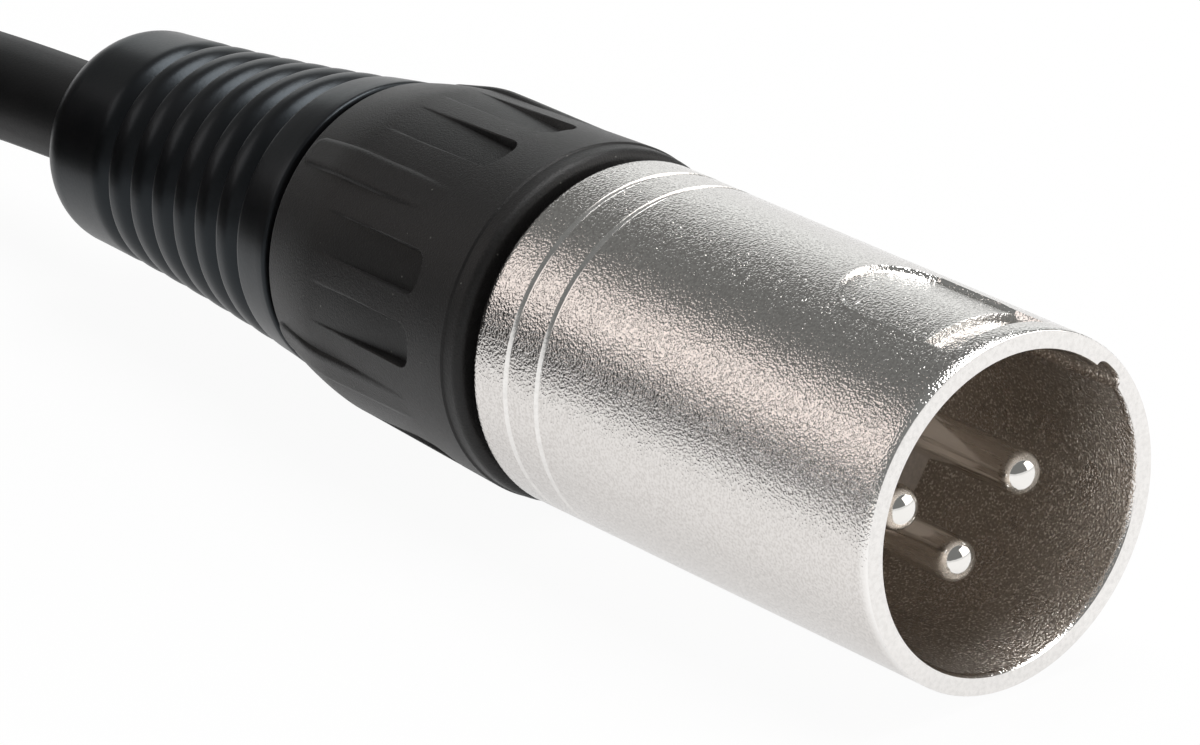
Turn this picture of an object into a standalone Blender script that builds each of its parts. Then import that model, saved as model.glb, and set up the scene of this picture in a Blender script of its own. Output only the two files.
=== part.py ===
"""A microphone cable with three-pole circular connectors, in metres with +Z up.

The plug with the pins lies along +X on the surface z = 0, its latch recess on top.  Its cable
runs back along -X into a tied coil, and comes out of it to the socket connector.  Each
connector is built in its own frame: the mating face is at x = 0, the body runs back along -X,
and "back" is the distance behind the mating face.
"""

import math

import bmesh
import bpy
from mathutils import Matrix, Vector

MM = 0.001
DEGREE = math.pi / 180

# Clearances between separate pieces
GAP = 0.3 * MM
PIN_GAP = 0.15 * MM
THREAD_GAP = 0.3 * MM
MATING_GAP = 0.33 * MM
CUP_CLEARANCE = 0.39 * MM
BOSS_CLEARANCE = 0.7 * MM
SPIGOT_CLEARANCE = 1.7 * MM
BORE_CLEARANCE = 0.4 * MM
JACKET_CLEARANCE = 1.2 * MM
CORD_CLEARANCE = 0.6 * MM

# Contacts, at the standard places round the axis
CONTACT_CIRCLE = 3.81 * MM
CONTACT_ANGLES = (-90 * DEGREE, 90 * DEGREE, 180 * DEGREE)
PIN_RADIUS = 1.195 * MM
PIN_SET_BACKS = (3.3 * MM, 2.7 * MM, 3.2 * MM)
PIN_DOME = 0.95 * MM
CUP_RADIUS = 1.5 * MM
CUP_BORE = 1.05 * MM
CUP_LENGTH = 5.6 * MM
CUP_DEPTH = 4.0 * MM
CUP_OPEN_LENGTH = 2.8 * MM

# The walls that lie round the solder cups, from the collet out to the shell
COLLET_WALL = 1.3 * MM
SPIGOT_WALL = 1.2 * MM
THREAD_WALL = 0.7 * MM
COLLET_BORE = CONTACT_CIRCLE + CUP_RADIUS + CUP_CLEARANCE
COLLET_RADIUS = COLLET_BORE + COLLET_WALL
SPIGOT_BORE = COLLET_RADIUS + GAP
SPIGOT_RADIUS = SPIGOT_BORE + SPIGOT_WALL
THREAD_BORE_RADIUS = SPIGOT_RADIUS + THREAD_GAP
SHELL_RADIUS = THREAD_BORE_RADIUS + THREAD_WALL

# The shell of the plug
RIM_WALL = 1.12 * MM
SOCKET_DEPTH = 14.3 * MM
PLUG_TAIL = 10.1 * MM
EDGE_CHAMFER = 0.15 * MM
KEYWAY_ANGLE = 49.5 * DEGREE
KEYWAY_WIDTH = 1.8 * MM
KEYWAY_DEPTH = 0.45 * MM
RECESS_HALF_ANGLE = 18.5 * DEGREE
RECESS_START = 3.4 * MM
RECESS_END = 11.4 * MM
RECESS_DEPTH = 0.2 * MM
NOTCH_START = 1.4 * MM
NOTCH_DEPTH = 0.65 * MM
CATCH_LENGTH = 2.4 * MM
CATCH_WIDTH = 5.8 * MM
CATCH_WALL = 0.2 * MM
RING_GROOVES = (5.0 * MM, 2.5 * MM)
RING_GROOVE_WIDTH = 0.36 * MM
RING_GROOVE_DEPTH = 0.2 * MM

# Insulators
INSERT_LENGTH = 6.0 * MM
INSERT_BOSS_LENGTH = 3.0 * MM
EARTH_CLIP_ANGLE = -125 * DEGREE
EARTH_CLIP_WIDTH = 2.6 * MM
EARTH_CLIP_LENGTH = 4.4 * MM
EARTH_CLIP_THICKNESS = 0.3 * MM
EARTH_SLOT_DEPTH = 1.3 * MM

# The shell of the socket connector
NOSE_WALL = 0.75 * MM
NOSE_OVERRUN = 0.2 * MM
FRONT_WALL = 1.0 * MM
KEY_WIDTH = 1.4 * MM
KEY_HEIGHT = 0.5 * MM
KEY_START = 1.0 * MM
KEY_SET_BACK = 2.5 * MM
HOLE_RADIUS = 1.3 * MM
SLEEVE_CONTACT_RADIUS = 1.85 * MM
CONTACT_SET_BACK = 1.2 * MM
INSERT_SET_BACK = 0.5 * MM

# The latch lever of the socket connector, its pin and its spring
LEVER_WIDTH = 4.4 * MM
LEVER_SINK = 0.25 * MM
LEVER_THICKNESS = 1.2 * MM
LEVER_TRAVEL = 1.6 * MM
TOOTH_START = 3.2 * MM
TOOTH_END = 5.6 * MM
TOOTH_HEIGHT = 0.95 * MM
TAB_SET_BACK = 1.4 * MM
TAB_LENGTH = 5.0 * MM
TAB_RISE = 1.2 * MM
TAB_WIDTH = 6.2 * MM
PIVOT_SET_BACK = 1.9 * MM
PIVOT_SINK = 1.1 * MM
EYE_RADIUS = 1.2 * MM
PIVOT_RADIUS = 0.5 * MM
EAR_THICKNESS = 1.1 * MM
EAR_RISE = 0.8 * MM
EAR_CLEARANCE = 0.1 * MM
SPRING_SET_BACK = 1.9 * MM
SPRING_RADIUS = 1.1 * MM
SPRING_WIRE = 0.2 * MM
SPRING_TURNS = 4
SPRING_SINK = 2.8 * MM

# The collet that grips the cable
COLLET_RING_LENGTH = 8.4 * MM
JAW_LENGTH = 12.0 * MM
JAW_TAPER = 2.0 * MM
JAW_COUNT = 4
JAW_SLOT = 1.0 * MM
JAW_TOOTH = 0.3 * MM
JAW_TEETH = 3

# The grip nut
NUT_LIP_GAP = 0.6 * MM
LIP_OVERHANG = 0.29 * MM
LIP_LENGTH = 2.0 * MM
GRIP_LENGTH = 12.0 * MM
GRIP_TAPER = 0.49 * MM
SHOULDER_LENGTH = 4.35 * MM
SHOULDER_DROP = 0.78 * MM
NECK_LENGTH = 4.2 * MM
RIB_COUNT = 5
RIB_ANGLE = 30 * DEGREE
RIB_WIDTH = 2.0 * MM
RIB_SINK = 0.17 * MM
RIB_END_HEIGHT = 0.4 * MM
POCKETS_PER_RIB = 2
POCKET_WIDTH = 2.3 * MM
POCKET_SET_BACK = 4.9 * MM

# The ribbed sleeve
SLEEVE_SEAM = 0.45 * MM
SLEEVE_LENGTH = 24.2 * MM
SLEEVE_STEP = 0.1 * MM
SLEEVE_WALL = 1.82 * MM
SLEEVE_TAPER = 0.14
SLEEVE_FLARE = 0.002 / MM
SLEEVE_BAND = 3.0 * MM
SLEEVE_TIP = 5.3 * MM
GROOVE_PITCH = 2.27 * MM
GROOVE_DEPTH = 0.5 * MM
SLEEVE_END_WALL = 0.8 * MM
SLEEVE_END_ROUND = 2.5 * MM
DROOP_SLOPE = 0.046
DROOP_EASING = 4.0 * MM

# The cable
CABLE_RADIUS = 3.0 * MM
WIRE_RADIUS = 0.7 * MM
WIRE_CIRCLE = 1.3 * MM
WIRE_START = 1.8 * MM
JACKET_SET_BACK = 3.2 * MM
JACKET_JOINT = 2.4 * MM
JOINT_GAP = 0.4 * MM

# The coil and its ties, on the surface
COIL_INNER_RADIUS = 21.0 * MM
COIL_OUTER_RADIUS = 45.0 * MM
COIL_HEIGHT = 21.8 * MM
COIL_MEETING_ANGLE = 60.5 * DEGREE
TIE_THICKNESS = 0.9 * MM
TIE_WIDTH = 11.0 * MM
TIE_ANGLES = (0 * DEGREE, 160 * DEGREE)

# Facets round a piece
SHELL_STEPS = 48
NUT_STEPS = 40
SLEEVE_STEPS = 24
INNER_STEPS = 20
PIN_STEPS = 12
COIL_STEPS = 40

# Radii that follow from the sizes above
RIM_BORE_RADIUS = SHELL_RADIUS - RIM_WALL
INSERT_RADIUS = THREAD_BORE_RADIUS - GAP
INSERT_BOSS_RADIUS = SPIGOT_BORE - BOSS_CLEARANCE
JAW_END_RADIUS = COLLET_RADIUS - JAW_TAPER
NUT_BORE = CABLE_RADIUS + JACKET_CLEARANCE
LIP_RADIUS = SHELL_RADIUS + LIP_OVERHANG
GRIP_END_RADIUS = LIP_RADIUS - GRIP_TAPER
SHOULDER_END_RADIUS = GRIP_END_RADIUS - SHOULDER_DROP
RIB_CREST = LIP_RADIUS - RIB_SINK
RIB_END_CREST = SHOULDER_END_RADIUS + RIB_END_HEIGHT
SLEEVE_FRONT_RADIUS = SHOULDER_END_RADIUS - SLEEVE_STEP
NECK_RADIUS = SLEEVE_FRONT_RADIUS - SLEEVE_WALL - BORE_CLEARANCE
SLEEVE_BORE = CABLE_RADIUS + BORE_CLEARANCE
SLEEVE_END_RADIUS = SLEEVE_BORE + SLEEVE_END_WALL
NOSE_RADIUS = RIM_BORE_RADIUS - MATING_GAP
AXIS_HEIGHT = LIP_RADIUS

# Heights of the latch above the socket connector's axis
LEVER_TOP = NOSE_RADIUS - LEVER_SINK
LEVER_UNDERSIDE = LEVER_TOP - LEVER_THICKNESS
TOOTH_TOP = LEVER_TOP + TOOTH_HEIGHT
TAB_TOP = SHELL_RADIUS + TAB_RISE
PIVOT_HEIGHT = LEVER_TOP - PIVOT_SINK
EAR_TOP = PIVOT_HEIGHT + EAR_RISE
INSERT_FLAT = LEVER_UNDERSIDE - LEVER_TRAVEL
SPRING_SEAT = INSERT_FLAT - SPRING_SINK

# Lengths that follow from the sizes above
PLUG_SHELL_LENGTH = SOCKET_DEPTH + INSERT_LENGTH + PLUG_TAIL
SPIGOT_LENGTH = PLUG_TAIL + NUT_LIP_GAP - SPIGOT_CLEARANCE
NUT_REACH = NUT_LIP_GAP + LIP_LENGTH + GRIP_LENGTH + SHOULDER_LENGTH
REAR_LENGTH = NUT_REACH + SLEEVE_SEAM + SLEEVE_LENGTH
NOSE_LENGTH = SOCKET_DEPTH + NOSE_OVERRUN
TAB_START = NOSE_LENGTH + TAB_SET_BACK
TAB_END = TAB_START + TAB_LENGTH
SPRING_BACK = TAB_START + SPRING_SET_BACK
PIVOT_BACK = TAB_END + PIVOT_SET_BACK
SOCKET_BOSS_START = PIVOT_BACK + EYE_RADIUS + EAR_CLEARANCE
SOCKET_SHELL_LENGTH = SOCKET_BOSS_START + GAP + SPIGOT_LENGTH - NUT_LIP_GAP
GROOVE_COUNT = int((SLEEVE_LENGTH - SLEEVE_BAND - SLEEVE_TIP) / GROOVE_PITCH)
COIL_BOTTOM = TIE_THICKNESS + GAP

# Places on the surface: the plug, the coil beside the end of the run, the socket past the tail
PLUG_LENGTH = PLUG_SHELL_LENGTH + REAR_LENGTH
PLUG_FACE = PLUG_LENGTH / 2
PLUG_REAR = PLUG_FACE - PLUG_LENGTH
CORD_END = JACKET_JOINT - JOINT_GAP
RUN_LENGTH = 18.2 * MM
MEETING_RADIUS = COIL_OUTER_RADIUS + CABLE_RADIUS + GAP
COIL_CENTRE = (
    PLUG_REAR - RUN_LENGTH - MEETING_RADIUS * math.cos(COIL_MEETING_ANGLE),
    -MEETING_RADIUS * math.sin(COIL_MEETING_ANGLE),
)
TAIL_RADIUS = COIL_OUTER_RADIUS + CABLE_RADIUS + CORD_CLEARANCE
TAIL_REACH = 40.0 * MM
TAIL_STRAIGHT = 7.0 * MM
TAIL_EASE = 6.0 * MM
SOCKET_PLACE = (
    COIL_CENTRE[0] + TAIL_REACH - CORD_END + SOCKET_SHELL_LENGTH + REAR_LENGTH,
    COIL_CENTRE[1] - TAIL_RADIUS + TAIL_EASE,
)

# The free run as (behind the plug, drop below its sleeve's end), chosen for an even slope
RUN_STATIONS = (
    (-CORD_END, -0.09 * MM),
    (6.0 * MM, 0.32 * MM),
    (12.0 * MM, 0.72 * MM),
    (RUN_LENGTH, 1.3 * MM),
)

# The tail as (angle round the coil, height above the socket connector's axis)
TAIL_STATIONS = (
    (225 * DEGREE, 3.8 * MM),
    (240 * DEGREE, 1.9 * MM),
    (255 * DEGREE, 0.5 * MM),
    (270 * DEGREE, 0),
)

# Its last stretch as (along X from the coil's centre, sideways towards the coil)
TAIL_ENDING = (
    (12.0 * MM, 1.2 * MM),
    (22.0 * MM, 4.0 * MM),
    (29.0 * MM, TAIL_EASE - 0.35 * MM),
    (TAIL_REACH - TAIL_STRAIGHT, TAIL_EASE),
    (TAIL_REACH - CORD_END, TAIL_EASE),
    (TAIL_REACH, TAIL_EASE),
)


def clear_scene():
    for old in list(bpy.data.objects):
        bpy.data.objects.remove(old)


def material(name, color, metallic, roughness):
    made = bpy.data.materials.new(name)
    made.use_nodes = True
    shader = made.node_tree.nodes["Principled BSDF"]
    shader.inputs["Base Color"].default_value = (*color, 1)
    shader.inputs["Metallic"].default_value = metallic
    shader.inputs["Roughness"].default_value = roughness
    return made


def add_object(name, data, parent, finish):
    made = bpy.data.objects.new(name, data)
    bpy.context.scene.collection.objects.link(made)
    made.parent = parent
    if finish is not None:
        data.materials.append(finish)
    return made


def add_mesh(name, bm, parent, finish, sharp=35 * DEGREE):
    bmesh.ops.recalc_face_normals(bm, faces=bm.faces)
    mesh = bpy.data.meshes.new(name)
    bm.to_mesh(mesh)
    bm.free()
    mesh.shade_smooth()
    mesh.set_sharp_from_angle(angle=sharp)
    return add_object(name, mesh, parent, finish)


def cutter(made):
    made.hide_render = True
    made.display_type = "WIRE"
    return made


def boolean(target, other, operation="DIFFERENCE"):
    modifier = target.modifiers.new(other.name, "BOOLEAN")
    modifier.operation = operation
    modifier.object = cutter(other)


def spin_about_x(bm, section, steps):
    """Revolves (back, radius) points about the X axis; a section that starts on it stays open."""
    on_axis = section[0][1] == 0
    points = [bm.verts.new((-back, 0, radius)) for back, radius in section]
    pairs = list(zip(points, points[1:]))
    if not on_axis:
        pairs.append((points[-1], points[0]))
    edges = [bm.edges.new(pair) for pair in pairs]
    bmesh.ops.spin(
        bm,
        geom=points + edges,
        cent=(0, 0, 0),
        axis=(1, 0, 0),
        angle=math.tau,
        steps=steps,
        use_merge=True,
    )
    bmesh.ops.remove_doubles(bm, verts=bm.verts, dist=0.001 * MM)


def turned(name, section, parent, finish, steps=SHELL_STEPS, bend=None):
    bm = bmesh.new()
    spin_about_x(bm, section, steps)
    if bend:
        for vert in bm.verts:
            vert.co.z -= bend(-vert.co.x)
    return add_mesh(name, bm, parent, finish)


def box(name, backs, sides, heights, parent, finish=None):
    """A block between two distances back, two sideways places and two heights."""
    bm = bmesh.new()
    size = Vector((backs[1] - backs[0], sides[1] - sides[0], heights[1] - heights[0]))
    middle = Vector((-sum(backs) / 2, sum(sides) / 2, sum(heights) / 2))
    placed = Matrix.Translation(middle) @ Matrix.Diagonal((*size, 1))
    bmesh.ops.create_cube(bm, size=1, matrix=placed)
    return add_mesh(name, bm, parent, finish)


def extrude_face(bm, corners, shift):
    """A prism from a flat outline of corners, pushed along shift."""
    face = bm.faces.new([bm.verts.new(corner) for corner in corners])
    pushed = bmesh.ops.extrude_face_region(bm, geom=[face], use_keep_orig=True)
    moved = [item for item in pushed["geom"] if isinstance(item, bmesh.types.BMVert)]
    bmesh.ops.translate(bm, verts=moved, vec=shift)


def side_prism(name, outline, width, parent, finish=None):
    """A prism across the connector from (back, height) points, centred on its width."""
    bm = bmesh.new()
    corners = [(-back, -width / 2, height) for back, height in outline]
    extrude_face(bm, corners, Vector((0, width, 0)))
    return add_mesh(name, bm, parent, finish)


def round_the_axis(bm, angle, since):
    """Turns the vertices made since a count from the top to an angle towards +Y."""
    bm.verts.ensure_lookup_table()
    turn = Matrix.Rotation(-angle, 3, "X")
    bmesh.ops.transform(bm, matrix=turn.to_4x4(), verts=bm.verts[since:])


def contact_places():
    """(y, z) of each contact: left and right of the axis, and below it."""
    return [
        (CONTACT_CIRCLE * math.sin(angle), CONTACT_CIRCLE * math.cos(angle))
        for angle in CONTACT_ANGLES
    ]


def contact_holes(name, backs, radius, parent):
    bm = bmesh.new()
    depth = backs[1] - backs[0]
    for y, z in contact_places():
        along = Matrix.Rotation(math.pi / 2, 4, "Y")
        placed = Matrix.Translation((-sum(backs) / 2, y, z)) @ along
        bmesh.ops.create_cone(
            bm,
            cap_ends=True,
            segments=PIN_STEPS,
            radius1=radius,
            radius2=radius,
            depth=depth,
            matrix=placed,
        )
    return add_mesh(name, bm, parent, None)


def curved_slab(name, half_angle, front, rear_of, low, high, parent):
    """A cutter over the top of a round body, between two radii, whose rear edge may be rounded."""
    stations = 12
    bm = bmesh.new()
    rows = []
    for index in range(stations + 1):
        share = 2 * index / stations - 1
        angle = share * half_angle
        rear = rear_of(share)
        row = [
            bm.verts.new((-back, radius * math.sin(angle), radius * math.cos(angle)))
            for back, radius in ((front, low), (rear, low), (rear, high), (front, high))
        ]
        rows.append(row)
    for one, other in zip(rows, rows[1:]):
        for index in range(4):
            following = (index + 1) % 4
            bm.faces.new((one[index], one[following], other[following], other[index]))
    bm.faces.new(rows[0])
    bm.faces.new(rows[-1])
    return add_mesh(name, bm, parent, None)


def droop(back):
    """How far the plug's sleeve and cable have sunk at a distance back, easing in behind the nut."""
    start = PLUG_SHELL_LENGTH + NUT_REACH - 1 * MM
    past = back - start
    if past <= 0:
        return 0
    if past < DROOP_EASING:
        return DROOP_SLOPE * past * past / (2 * DROOP_EASING)
    return DROOP_SLOPE * (past - DROOP_EASING / 2)


def smooth_line(points, spacing):
    """Points at an even spacing on a Catmull-Rom curve through a route's own points."""
    route = [Vector(point) for point in points]
    route = [2 * route[0] - route[1], *route, 2 * route[-1] - route[-2]]
    dense = []
    parts = 16
    for before, start, end, after in zip(route, route[1:], route[2:], route[3:]):
        for step in range(parts):
            t = step / parts
            dense.append(
                0.5
                * (
                    2 * start
                    + (end - before) * t
                    + (2 * before - 5 * start + 4 * end - after) * t * t
                    + (3 * start - before - 3 * end + after) * t * t * t
                )
            )
    dense.append(route[-2])
    lengths = [(b - a).length for a, b in zip(dense, dense[1:])]
    count = max(2, round(sum(lengths) / spacing))
    step = sum(lengths) / count
    kept = [dense[0]]
    run = 0
    for point, length in zip(dense[1:], lengths):
        run += length
        if run >= step * len(kept) - 1e-9:
            kept.append(point)
    kept[-1] = dense[-1]
    return kept


def tube(name, points, radius, parent, finish, bevel_resolution=2):
    curve = bpy.data.curves.new(name, "CURVE")
    curve.dimensions = "3D"
    curve.bevel_depth = radius
    curve.bevel_resolution = bevel_resolution
    curve.use_fill_caps = True
    spline = curve.splines.new("POLY")
    spline.points.add(len(points) - 1)
    for place, point in zip(spline.points, points):
        place.co = (*point, 1)
    return add_object(name, curve, parent, finish)


def rim_section(radius, length, bores, grooves=()):
    """The outline of a shell: outside from rim to rear with fine grooves, then its bores to the rim."""
    outline = [(0, radius - EDGE_CHAMFER), (EDGE_CHAMFER, radius)]
    for from_rear in grooves:
        middle = length - from_rear
        half = RING_GROOVE_WIDTH / 2
        floor = radius - RING_GROOVE_DEPTH
        outline += [(middle - half, radius), (middle, floor), (middle + half, radius)]
    outline += [(length - EDGE_CHAMFER, radius), (length, radius - EDGE_CHAMFER)]
    return outline + bores


def plug_shell(parent, finish):
    shoulder = SOCKET_DEPTH - GAP
    bores = [
        (PLUG_SHELL_LENGTH, THREAD_BORE_RADIUS),
        (shoulder, THREAD_BORE_RADIUS),
        (shoulder, RIM_BORE_RADIUS),
        (EDGE_CHAMFER, RIM_BORE_RADIUS),
        (0, RIM_BORE_RADIUS + EDGE_CHAMFER),
    ]
    section = rim_section(SHELL_RADIUS, PLUG_SHELL_LENGTH, bores, RING_GROOVES)
    shell = turned("male_shell", section, parent, finish)

    keyway = box(
        "keyway_cutter",
        (-1 * MM, shoulder - GAP),
        (-KEYWAY_WIDTH / 2, KEYWAY_WIDTH / 2),
        (RIM_BORE_RADIUS - 1 * MM, RIM_BORE_RADIUS + KEYWAY_DEPTH),
        parent,
    )
    keyway.rotation_euler.x = -KEYWAY_ANGLE
    boolean(shell, keyway)

    above = SHELL_RADIUS + 1 * MM
    half_width = SHELL_RADIUS * RECESS_HALF_ANGLE
    recess = curved_slab(
        "recess_cutter",
        RECESS_HALF_ANGLE,
        NOTCH_START + GAP,
        lambda share: RECESS_END - half_width * (1 - math.sqrt(1 - share * share)),
        SHELL_RADIUS - RECESS_DEPTH,
        above,
        parent,
    )
    boolean(shell, recess)
    notch = curved_slab(
        "notch_cutter",
        RECESS_HALF_ANGLE,
        NOTCH_START,
        lambda share: RECESS_START,
        SHELL_RADIUS - NOTCH_DEPTH,
        above,
        parent,
    )
    boolean(shell, notch)

    catch_start = SOCKET_DEPTH - TOOTH_END - GAP
    catch = curved_slab(
        "catch_cutter",
        math.asin(CATCH_WIDTH / 2 / RIM_BORE_RADIUS),
        catch_start,
        lambda share: catch_start + CATCH_LENGTH,
        RIM_BORE_RADIUS - 1 * MM,
        SHELL_RADIUS - RECESS_DEPTH - CATCH_WALL,
        parent,
    )
    boolean(shell, catch)


def plug_insert(parent, finish):
    boss_start = SOCKET_DEPTH + INSERT_LENGTH
    end = boss_start + INSERT_BOSS_LENGTH
    section = [
        (SOCKET_DEPTH, 0),
        (SOCKET_DEPTH, INSERT_RADIUS),
        (boss_start, INSERT_RADIUS),
        (boss_start, INSERT_BOSS_RADIUS),
        (end, INSERT_BOSS_RADIUS),
        (end, 0),
    ]
    insert = turned("male_insert", section, parent, finish, NUT_STEPS)
    cup_start = end - INSERT_BOSS_LENGTH + 1 * MM
    pins = contact_holes(
        "pin_hole_cutter", (SOCKET_DEPTH - 1 * MM, end), PIN_RADIUS + PIN_GAP, parent
    )
    cups = contact_holes(
        "cup_hole_cutter", (cup_start - GAP, end + 1 * MM), CUP_RADIUS + GAP, parent
    )
    boolean(insert, pins)
    boolean(insert, cups)
    slot = box(
        "earth_slot_cutter",
        (SOCKET_DEPTH + 1 * MM, boss_start + 1 * MM),
        (-EARTH_CLIP_WIDTH / 2 - GAP, EARTH_CLIP_WIDTH / 2 + GAP),
        (INSERT_RADIUS - EARTH_SLOT_DEPTH, INSERT_RADIUS + 1 * MM),
        parent,
    )
    slot.rotation_euler.x = -EARTH_CLIP_ANGLE
    boolean(insert, slot)
    return cup_start


def earth_clip(parent, finish):
    """A bowed strip in the insert's slot, whose crest all but touches the shell."""
    start = SOCKET_DEPTH + 1.3 * MM
    floor = INSERT_RADIUS - EARTH_SLOT_DEPTH + GAP
    crest = THREAD_BORE_RADIUS - GAP - EARTH_CLIP_THICKNESS
    side = EARTH_CLIP_WIDTH / 2
    crest = math.sqrt((crest + EARTH_CLIP_THICKNESS) ** 2 - side * side) - EARTH_CLIP_THICKNESS
    stations = 8
    under = []
    for index in range(stations + 1):
        share = index / stations
        rise = (crest - floor) * (1 - math.cos(math.tau * share)) / 2
        under.append((start + EARTH_CLIP_LENGTH * share, floor + rise))
    over = [(back, height + EARTH_CLIP_THICKNESS) for back, height in reversed(under)]
    clip = side_prism("male_earth_clip", under + over, EARTH_CLIP_WIDTH, parent, finish)
    clip.rotation_euler.x = -EARTH_CLIP_ANGLE


def cup_opening(name, start, parent):
    """The half of each solder cup that is cut away on the side that faces up."""
    bm = bmesh.new()
    for y, z in contact_places():
        size = (CUP_OPEN_LENGTH + 1 * MM, 2 * CUP_RADIUS + 1 * MM, 2 * CUP_RADIUS)
        middle = start + size[0] / 2
        placed = Matrix.Translation((-middle, y, z + CUP_RADIUS + 0.2 * MM))
        bmesh.ops.create_cube(bm, size=1, matrix=placed @ Matrix.Diagonal((*size, 1)))
    return add_mesh(name, bm, parent, None)


def cup_section(start, shank):
    """The rear of a contact: its solder cup, from the end of the shank round to the bottom of its bore."""
    end = start + CUP_LENGTH
    return [
        (start, shank),
        (start, CUP_RADIUS),
        (end, CUP_RADIUS),
        (end, CUP_BORE),
        (end - CUP_DEPTH, CUP_BORE),
        (end - CUP_DEPTH - 0.5 * MM, 0),
    ]


def contacts(prefix, fronts, cup_start, parent, finish):
    """The three contacts: a turned front for each, and the open solder cup that all of them have."""
    opening = cup_opening(
        prefix + "_cup_cutter", cup_start + CUP_LENGTH - CUP_OPEN_LENGTH, parent
    )
    for number, (front, (y, z)) in enumerate(zip(fronts, contact_places()), 1):
        bm = bmesh.new()
        spin_about_x(bm, front + cup_section(cup_start, front[-1][1]), PIN_STEPS)
        bmesh.ops.translate(bm, verts=bm.verts, vec=(0, y, z))
        contact = add_mesh(f"{prefix}_{number}", bm, parent, finish)
        boolean(contact, opening)


def pin_front(set_back):
    """A pin's domed tip, up to the full width of its shank."""
    arcs = 4
    turns = [index * math.pi / 2 / arcs for index in range(arcs + 1)]
    return [
        (set_back + PIN_DOME * (1 - math.cos(turn)), PIN_RADIUS * math.sin(turn))
        for turn in turns
    ]


def wires(prefix, cup_start, jacket_start, parent, finishes):
    """The insulated cores, from the solder cups in to the jacket's end."""
    start = cup_start + CUP_LENGTH - CUP_DEPTH + WIRE_START
    end = jacket_start - GAP
    for number, (y, z) in enumerate(contact_places(), 1):
        angle = CONTACT_ANGLES[number - 1]
        y_end = WIRE_CIRCLE * math.sin(angle)
        z_end = WIRE_CIRCLE * math.cos(angle)
        route = [
            (-start, y, z),
            (-start - 2 * MM, y, z),
            (-(start + end) / 2 - 0.8 * MM, (y + y_end) / 2, (z + z_end) / 2),
            (-end + 1 * MM, y_end, z_end),
            (-end, y_end, z_end),
        ]
        line = smooth_line(route, 1.2 * MM)
        tube(f"{prefix}_{number}", line, WIRE_RADIUS, parent, finishes[number - 1])


def collet(name, start, parent, finish):
    """A ring with four sprung jaws, toothed inside and tapered outside to suit the nut's cone."""
    bore = CABLE_RADIUS + GAP
    jaw_start = start + COLLET_RING_LENGTH
    end = jaw_start + JAW_LENGTH
    funnel = COLLET_BORE - bore
    inside = []
    pitch = JAW_LENGTH / (JAW_TEETH + 1)
    for index in range(JAW_TEETH):
        middle = end - (index + 0.7) * pitch
        inside += [
            (middle + 0.8 * MM, bore),
            (middle, bore + JAW_TOOTH),
            (middle - 0.1 * MM, bore),
        ]
    section = [
        (start, COLLET_RADIUS),
        (jaw_start, COLLET_RADIUS),
        (end, JAW_END_RADIUS),
        (end, bore),
        *inside,
        (jaw_start + 1 * MM, bore),
        (jaw_start + 1 * MM - funnel, COLLET_BORE),
        (start, COLLET_BORE),
    ]
    made = turned(name, section, parent, finish, INNER_STEPS)
    slot_start = jaw_start + 1.5 * MM
    wide = 2 * COLLET_RADIUS
    for index in range(JAW_COUNT // 2):
        slot = box(
            f"{name}_slot_cutter_{index}",
            (slot_start, slot_start + JAW_LENGTH),
            (-wide, wide),
            (-JAW_SLOT / 2, JAW_SLOT / 2),
            parent,
        )
        slot.rotation_euler.x = math.pi / 4 + index * math.tau / JAW_COUNT
        boolean(made, slot)


def grip_stations(front):
    """(back, radius) along the outside of the nut, from the lip's face to its rear edge."""
    lip_end = front + LIP_LENGTH
    grip_end = lip_end + GRIP_LENGTH
    end = grip_end + SHOULDER_LENGTH
    drop = GRIP_END_RADIUS - SHOULDER_END_RADIUS
    rounding = 0.6 * MM
    return [
        (front, LIP_RADIUS - rounding),
        (front + rounding * 0.35, LIP_RADIUS - rounding * 0.4),
        (front + rounding * 1.1, LIP_RADIUS - rounding * 0.1),
        (front + rounding * 2.2, LIP_RADIUS),
        (lip_end, LIP_RADIUS),
        (grip_end, GRIP_END_RADIUS),
        (grip_end + 0.4 * SHOULDER_LENGTH, GRIP_END_RADIUS - 0.27 * drop),
        (grip_end + 0.75 * SHOULDER_LENGTH, GRIP_END_RADIUS - 0.65 * drop),
        (end - 0.25 * MM, SHOULDER_END_RADIUS),
        (end, SHOULDER_END_RADIUS - 0.25 * MM),
    ]


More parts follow.
